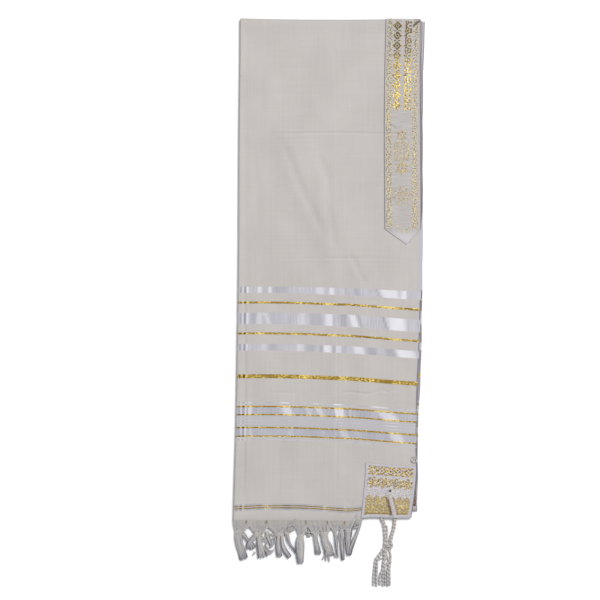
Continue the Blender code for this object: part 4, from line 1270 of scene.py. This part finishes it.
# Single yarns that leave their lock: places across and up, with a height over the floor.
STRAYS = (
    ((-119, -24, 5.6), (-112.5, -29, 6.2), (-106, -36, 5.4), (-108, -45, 4.2), (-103, -51, 3.2)),
    ((-106, -22, 5), (-109.5, -31, 5.2), (-115, -38, 4.6)),
    ((-84, -25, 5.2), (-92.5, -27.5, 6.2), (-97.8, -35, 5.4), (-96.5, -42, 4.4), (-101.5, -47, 3.2)),
    ((-92.5, -26, 4.8), (-91.6, -35, 4.8), (-95.2, -41.5, 4.4), (-99, -46.5, 3.4)),
    ((-107, -44, 4.2), (-102.6, -51.5, 4.2), (-97, -52.5, 3.6), (-93.6, -50, 3)),
    ((-112, -46, 4), (-106, -54, 4), (-100.6, -57.5, 3.4), (-95, -53, 2.8)),
    ((-126, -54.5, 2.6), (-130.5, -60.5, 2.6)),
    ((-56.5, 1.5, 7.2), (-62, -6, 7.6), (-69.5, -9.5, 7), (-75, -16, 5.8), (-74.5, -25, 4.8)),
    ((-55, -9, 5.8), (-59, -15, 6.4), (-65.5, -17, 6.2), (-70, -20, 5)),
    ((-57.5, -12, 4.4), (-62.5, -8, 6.6), (-68, -12, 6.6), (-71, -19, 5.2)),
    ((-24, -24, 5), (-30, -20.5, 5.2), (-36, -20.5, 4.6), (-43, -15, 4.2)),
    ((-14, -20, 5.6), (-11, -28, 5.8), (-9, -41, 5), (-4, -52, 4)),
    ((-85, -25.5, 5.2), (-92, -23.6, 6), (-99.5, -23.4, 5.6), (-104.5, -27, 4.6)),
    ((-8, -20, 5.6), (-9.8, -30, 5.8), (-6.5, -42, 5.2), (2.5, -55, 4)),
    ((-2.5, -50, 4.2), (-6, -60, 3.4), (-11, -68, 2.8)),
    ((-3, -56, 3.8), (-4.6, -64, 3.2), (-5, -70.5, 2.8)),
    ((0.5, -56, 4), (0.6, -64, 3.4), (1.2, -71.5, 2.8)),
    ((6.5, -52, 4), (10, -58, 3.4), (12.2, -65, 2.8)),
    ((21.5, -17, 5.2), (17.6, -25, 5.2), (20.8, -36, 4.6), (21.6, -50, 3.6)),
)
FRINGE_ROWS = {
    "front": {"knot_z": 4.0, "foot_z": 2.4, "yarn": 1.25, "end": 0.74},
    "back": {"knot_z": 1.5, "foot_z": 1.3, "yarn": 1.1, "end": 0.6},
}
HEM_DEPTH = 0.7
HEM_GAPS = (-141.5, -106.5, -38.8, -2.2, 27.6)
WARP_PITCH = 1.2
YARN_PITCH = 1.85
YARN_STEP = 2.0
LOBE_DEPTH = 4.6
loose = np.random.default_rng(613)


def gathered_ends(bundle, row, hem):
    """The warp's ends, from the hem's edge to the bundle's knot."""
    count = max(3, round((bundle["hem_right"] - bundle["hem_left"]) / WARP_PITCH))
    bare_from, bare_to = bundle.get("bare", (0.0, 0.0))
    drop = bundle["knot_drop"]
    threads = []
    for k in range(count):
        share = (k + 0.5) / count
        if bare_from < share < bare_to:
            continue
        sway, level, phase = loose.uniform(-1.0, 1.0, 3)
        x = mix(bundle["hem_left"], bundle["hem_right"], share)
        y = read_curve(ACROSS, hem, x) + 0.2
        start = 1.0
        if hem == "front_hem":
            start = front_height(x, y, read_curve(EDGES, "left", 0.0)) - HEM_DEPTH
        knot_x = bundle["knot_x"] + (share - 0.5) * bundle["knot_width"] + 0.5 * sway
        knot_z = row["knot_z"] + (1.0 - abs(share - 0.5) * 2.0) * 0.9 * (1 - 2 * (k % 2))
        line = smooth_line((
            (x, y, start),
            (mix(x, knot_x, 0.12), mix(y, -drop, 0.3), mix(start, knot_z, 0.2) + 0.2 * level),
            (mix(x, knot_x, 0.6) + 0.5 * sway, mix(y, -drop, 0.68), mix(start, knot_z, 0.6) + 0.2 * level),
            (knot_x, -drop, knot_z),
        ), YARN_STEP)
        yarn = spin(line, row["end"], 0.5 * abs(sway), 6, lay=5.0, lobe=0.1, tip=1.0, phase=phase)
        rings, far, shade = yarn
        # Painted shadow: yarns at the gaps in the hem turn brown near it, as of the shaded cloth behind
        # them.
        if hem == "front_hem" and min(abs(x - gap) for gap in HEM_GAPS) < 1.5:
            shade = mix(shade, -1.0, 1.0 - ease((far - far[0] - 5.0) / 5.0))
        # Painted shadow at the knot: the last few millimetres of some yarns turn brown.
        if level > 0.1:
            shade = mix(shade, -0.9 * level, ease((far - far[-1] + 5.0) / 3.5))
        threads.append((rings, far, shade))
    return threads


def overhand_knot(x, y, z, radius, yarn, lean, wide=1.0):
    """The knot's wraps: a turn and a half round the bundle, drawn tight and slanted."""
    turns = np.linspace(0.0, 3.1 * math.pi, 22)
    wraps = places(
        x + wide * radius * np.cos(turns + lean),
        y + 1.6 - 4.4 * turns / turns[-1] + 0.9 * np.sin(turns + 1.3 * lean),
        z + 0.72 * radius * np.sin(turns + lean),
    )
    return spin(wraps, yarn, 0.25, lay=6.0, tip=0.7, start=0.7)


def hanging_lock(row, layer, lobes, route):
    """The yarns of a lock side by side, as wide as its route says, rounded at their foot."""
    line = smooth_line(route, YARN_STEP)
    way = np.linspace(0.0, 1.0, len(line))
    steps = np.gradient(line[:, :2], axis=0)
    lengths = np.linalg.norm(steps, axis=1)
    count = max(2, round(2.0 * line[:, 2].mean() / YARN_PITCH))
    yarns = []
    for k in range(count):
        share = (2 * k + 1) / count - 1.0
        sway, level, short, phase = loose.uniform(-1.0, 1.0, 4)
        wander = 0.95 * sway * np.sin(math.pi * way * 2.0 + 3.0 * phase)
        aside = (share * (line[:, 2] - 0.8 * row["yarn"]) + wander) / lengths
        bulge = 1.1 * math.sqrt(1.0 - share * share) + 0.35 * level
        yarn = places(
            line[:, 0] - steps[:, 1] * aside,
            line[:, 1] + steps[:, 0] * aside,
            mix(row["knot_z"], row["foot_z"], ease(way)) + layer + bulge * ease(way * 4.0 + 0.3),
        )
        cut = LOBE_DEPTH * (1.0 - abs(math.sin(math.pi * lobes * (share + 1.0) / 2.0))) + 0.7 * abs(short)
        ways = np.linspace(0.0, 1.0 - cut / sum(lengths), len(line))
        yarn = places(*[np.interp(ways, way, values) for values in yarn.T])
        # Painted shade: the outermost yarns darken as the lock's outline, the lock darkens towards its foot
        # and its very ends get a dark painted outline; level gives each yarn its own tone.
        outer = 1.25 if k in (0, count - 1) else 0.3 * abs(share)
        edge = outer * ease(3.0 * ways) * mix(0.75, 1.25, ways)
        foot = ease((ways - 0.55) * 2.4) + 0.7 * ease((ways - ways[-1] + 0.06) * 20.0)
        shade = np.maximum(0.0, edge + 0.75 * foot + 0.45 * level)
        yarns.append(spin(yarn, row["yarn"], shade, lay=9.0, lobe=0.1, tip=0.55, phase=phase))
    return yarns


def fringe(name, row, hem, bundles, locks, strays=()):
    yarns = []
    for number, values in enumerate(bundles):
        bundle = dict(zip(BUNDLE, values))
        yarns += gathered_ends(bundle, row, hem)
        place = (bundle["knot_x"], -bundle["knot_drop"] - 1.0, row["knot_z"])
        wide = bundle["knot_width"] / 6.0
        yarns.append(overhand_knot(*place, 2.3, 1.1 * row["yarn"], 0.8 * number, wide))
    for layer, lobes, route in locks:
        yarns += hanging_lock(row, layer, lobes, route)
    for stray in strays:
        yarns.append(spin(smooth_line(stray, YARN_STEP), 1.15 * row["yarn"], 0.5, lay=9.0, lobe=0.14))
    return yarn_piece(name, yarns)


def yarn_finish(name, light, dark, tip, lay, grooves):
    """Plied yarn: its shade goes from 0 to its tip's colour at 1 and to grey at 2, for each
    yarn's own tone and the painted shade that outlines the locks, and below 0 to brown, a
    painted shadow as of the cloth behind it."""
    material, around, along = new_finish(name)
    # groove is the plies' relief, and the grooves between them are also painted darker as their shade, as
    # strongly as grooves says.
    groove = abs(((along / lay + around / 8.0) % 1.0 - 0.5) * 2.0).over(0.55, 0.4)
    shade = field(along, "shade")
    colour = along.cloud(around, 5.0, 3.0, 3.0).over(0.5, 0.3).paint(light, dark)
    for share, layer_colour in (
        (shade.least(1.0).most(), tip),
        ((shade - 1.0).least(1.0).most(), screen_colour(96, 94, 102)),
        ((0.0 - shade).least(1.0).most(), screen_colour(128, 115, 98)),
        (groove * grooves, screen_colour(134, 126, 119)),
        (along.within(2.0, 9.0, 2.0) * 0.3, screen_colour(164, 154, 142)),
    ):
        colour = share.paint(colour, layer_colour)
    fibre = along.cloud(around, 0.7, 0.6)
    return finish_with(material, (1.0 - groove) * 0.7 + fibre * 0.5, 0.2, {
        "Base Color": colour,
        "Roughness": 0.9,
        "Sheen Weight": 0.2,
        "Sheen Roughness": 0.5,
        "Specular IOR Level": 0.25,
    })


# The fringe yarn's light and dark tones, and the colour its shade goes to, for each yarn's own tone and the
# painted shade of the locks.
fringe_colours = (screen_colour(192, 188, 185), screen_colour(172, 168, 165), screen_colour(146, 145, 152))
fringe_look = yarn_finish("fringe_yarn", *fringe_colours, 9.0, 0.12)
front_yarns = fringe("front_fringe", FRINGE_ROWS["front"], "front_hem", FRONT_BUNDLES, FRONT_LOCKS, STRAYS)
back_yarns = fringe("back_fringe", FRINGE_ROWS["back"], "back_hem", BACK_BUNDLES, BACK_LOCKS)
front_fringe = dress(front_yarns, fringe_look, "fringe_yarn", "fringe_front")
back_fringe = dress(back_yarns, fringe_look, "fringe_yarn", "fringe_under")

# Corner tassel: thick cords of wool, drawn through the eyelet and down under the patch,
# knotted together below the hem and left as single strands.
CORDS = (
    ((88, 13, 3.2), (90.3, 4.5, 3.1), (94.6, -4.5, 3), (96.6, -17, 2.9), (97.6, -32, 2.9),
        (96.6, -46, 2.8)),
    ((112.6, 13, 3.2), (113, 5, 3.1), (113.6, -4, 3), (111.6, -17, 2.9), (108, -28, 2.9),
        (105.8, -42, 2.8)),
)
CORD_PLIES = 3
CORD_PLY_RADIUS = 1.75
CORD_SPREAD = 1.6
CORD_LAY = 24.0
STRANDS = (
    ((96, -45, 2.8), (90, -55, 2.8), (81.5, -67, 2.4), (79, -80, 2.1), (77.2, -98, 1.9),
        (76.8, -113, 1.7)),
    ((96.5, -45, 3.6), (89.5, -57, 3.2), (83.8, -69, 2.6), (83, -84, 2.1), (82.2, -99, 1.9),
        (82.2, -114.2, 1.7)),
    ((104.5, -70, 2.8), (97.5, -79, 3.4), (90, -91, 2.6), (88, -100, 2), (87.8, -112, 1.7)),
    ((97.5, -47, 2.6), (95, -58, 2.2), (96.8, -67, 2.2), (93.4, -77, 2), (93.6, -95, 1.8),
        (93.2, -114, 1.7)),
    ((98.5, -47, 3.4), (97, -60, 3.6), (94.4, -74, 3), (97, -90, 2.4), (97.8, -112.5, 1.7)),
    ((105.5, -64, 2.6), (104, -76, 2.4), (101.8, -88, 2), (101.6, -100, 1.8), (101.4, -114.2, 1.7)),
    ((106, -66, 3.2), (105, -78, 2.8), (104.6, -92, 2.2), (105.4, -112, 1.7)),
)
STRAND_RADIUS = 2.2
LOOPS = (
    ((99.2, -9, 3.6), (100.6, -15, 4), (100.2, -27, 3.6), (100.8, -38, 3.2)),
    ((104, -38, 3.6), (109.4, -41, 3.6), (108, -47.5, 3.4), (103.4, -50, 3.2)),
    ((105.8, -42, 3), (105.4, -52, 2.8), (107, -62, 2.8), (105.6, -72, 2.8)),
    ((101, -48, 3), (99.6, -58, 2.6), (102.4, -66, 2.8), (104.8, -74, 2.8)),
    ((91.4, -58, 3), (87.4, -61, 3.6), (88.2, -66, 3.4), (93.6, -64.5, 3)),
    ((100.4, -40, 3.4), (97, -50, 3.6), (99.4, -60, 3), (97, -68, 2.6)),
)
TASSEL_KNOTS = (
    {"x": 101.4, "y": -43.5, "z": 2.9, "radius": 3.8, "yarn": 1.5, "lean": 0.5},
    {"x": 105.8, "y": -72.0, "z": 2.8, "radius": 2.4, "yarn": 1.3, "lean": 2.0},
)


def twisted_cord(route):
    """A cord's plies, each wound round the cord's own line."""
    line = smooth_line(route, 1.2)
    side = np.cross(directions(line), (0.0, 0.0, 1.0))
    side /= np.linalg.norm(side, axis=1)[:, None]
    above = np.cross(directions(line), side)
    plies = []
    for k in range(CORD_PLIES):
        turn = 2.0 * math.pi * (lengths_along(line) / CORD_LAY + k / CORD_PLIES)[:, None]
        wound = line + CORD_SPREAD * (np.cos(turn) * side + 0.8 * np.sin(turn) * above)
        plies.append(spin(wound, CORD_PLY_RADIUS, lay=6.0, tip=0.8, start=0.8))
    return plies


def tassel():
    yarns = [ply for route in CORDS for ply in twisted_cord(route)]
    for route in STRANDS:
        rings, far, _ = spin(smooth_line(route, 1.6), STRAND_RADIUS, lay=13.0, lobe=0.36, tip=0.7)
        yarns.append((rings, far, 0.6 * ease(far / 40.0)))
    yarns += [spin(smooth_line(route, 1.4), 1.6, lay=12.0, lobe=0.26) for route in LOOPS]
    yarns += [overhand_knot(**knot) for knot in TASSEL_KNOTS]
    return yarn_piece("corner_tassel", yarns)


wool_dyes = (screen_colour(212, 208, 204), screen_colour(184, 179, 175), screen_colour(178, 177, 184))
cord_look = yarn_finish("tassel_wool", *wool_dyes, 6.5, 0.8)
corner_tassel = dress(tassel(), cord_look, "cord_yarn", "tzitzit")

# Selvage loop: a loose end of the selvage's own yarn, two millimetres thick, which has
# curled up on the right edge above the patch.
LOOP_ROUTE = (
    (151, 110, 5.6), (145.5, 109, 6.6), (142.2, 105, 7), (143.4, 101, 7),
    (148, 99.8, 7.2), (151.2, 103.2, 7.2), (149.4, 106.8, 6.9), (146.6, 105.2, 6.8),
)
LOOP_RADIUS = 1.15
loop_yarn = spin(smooth_line(LOOP_ROUTE, 0.9), LOOP_RADIUS, 0.3, lay=4.0, lobe=0.2)
selvage_loop = dress(yarn_piece("selvage_loop", [loop_yarn]), cord_look, "cloth")

# Studio: a wide pale floor under soft lights from above, the stronger one from the right,
# and the camera straight over the shawl.
VIEW_CENTRE = (-0.0498, 0.0049)
VIEW_WIDTH = 1.032
CAMERA_HEIGHT = 3.0
SENSOR = 36.0
FLOOR_SIZE = 40.0
bpy.ops.mesh.primitive_plane_add(size=FLOOR_SIZE, location=(0.0, 0.0, -0.0004))
floor = bpy.context.object
floor.name = "floor"
paper = bpy.data.materials.new("pale_floor")
paper.use_nodes = True
paper_look = {"Base Color": (0.95, 0.95, 0.955, 1.0), "Roughness": 0.95, "Specular IOR Level": 0.1}
feed(paper.node_tree.nodes["Principled BSDF"], paper_look)
floor.data.materials.append(paper)

LIGHTS = (
    {"place": (2.6, 3.4, 6.2), "size": 2.6, "power": 470.0},
    {"place": (-1.9, 0.3, 2.3), "size": 2.2, "power": 6.0},
    {"place": (0.2, -2.2, 2.4), "size": 2.2, "power": 6.0},
)
for number, lamp in enumerate(LIGHTS):
    bpy.ops.object.light_add(type="AREA", location=lamp["place"])
    light = bpy.context.object
    light.name = f"softbox_{number}"
    light.data.shape = "SQUARE"
    light.data.size = lamp["size"]
    light.data.energy = lamp["power"]
    light.visible_camera = False
    x, y, z = lamp["place"]
    light.rotation_euler = (0.0, math.atan2(math.hypot(x, y), z), math.atan2(y, x))

world = bpy.data.worlds.new("soft_room")
world.use_nodes = True
feed(world.node_tree.nodes["Background"], {"Color": (0.97, 0.98, 1.0, 1.0), "Strength": 0.46})
bpy.context.scene.world = world
bpy.context.scene.view_settings.view_transform = "Standard"

bpy.ops.object.camera_add(location=(*VIEW_CENTRE, CAMERA_HEIGHT), rotation=(0.0, 0.0, 0.0))
camera = bpy.context.object
camera.data.sensor_width = SENSOR
camera.data.lens = SENSOR * CAMERA_HEIGHT / VIEW_WIDTH
bpy.context.scene.camera = camera
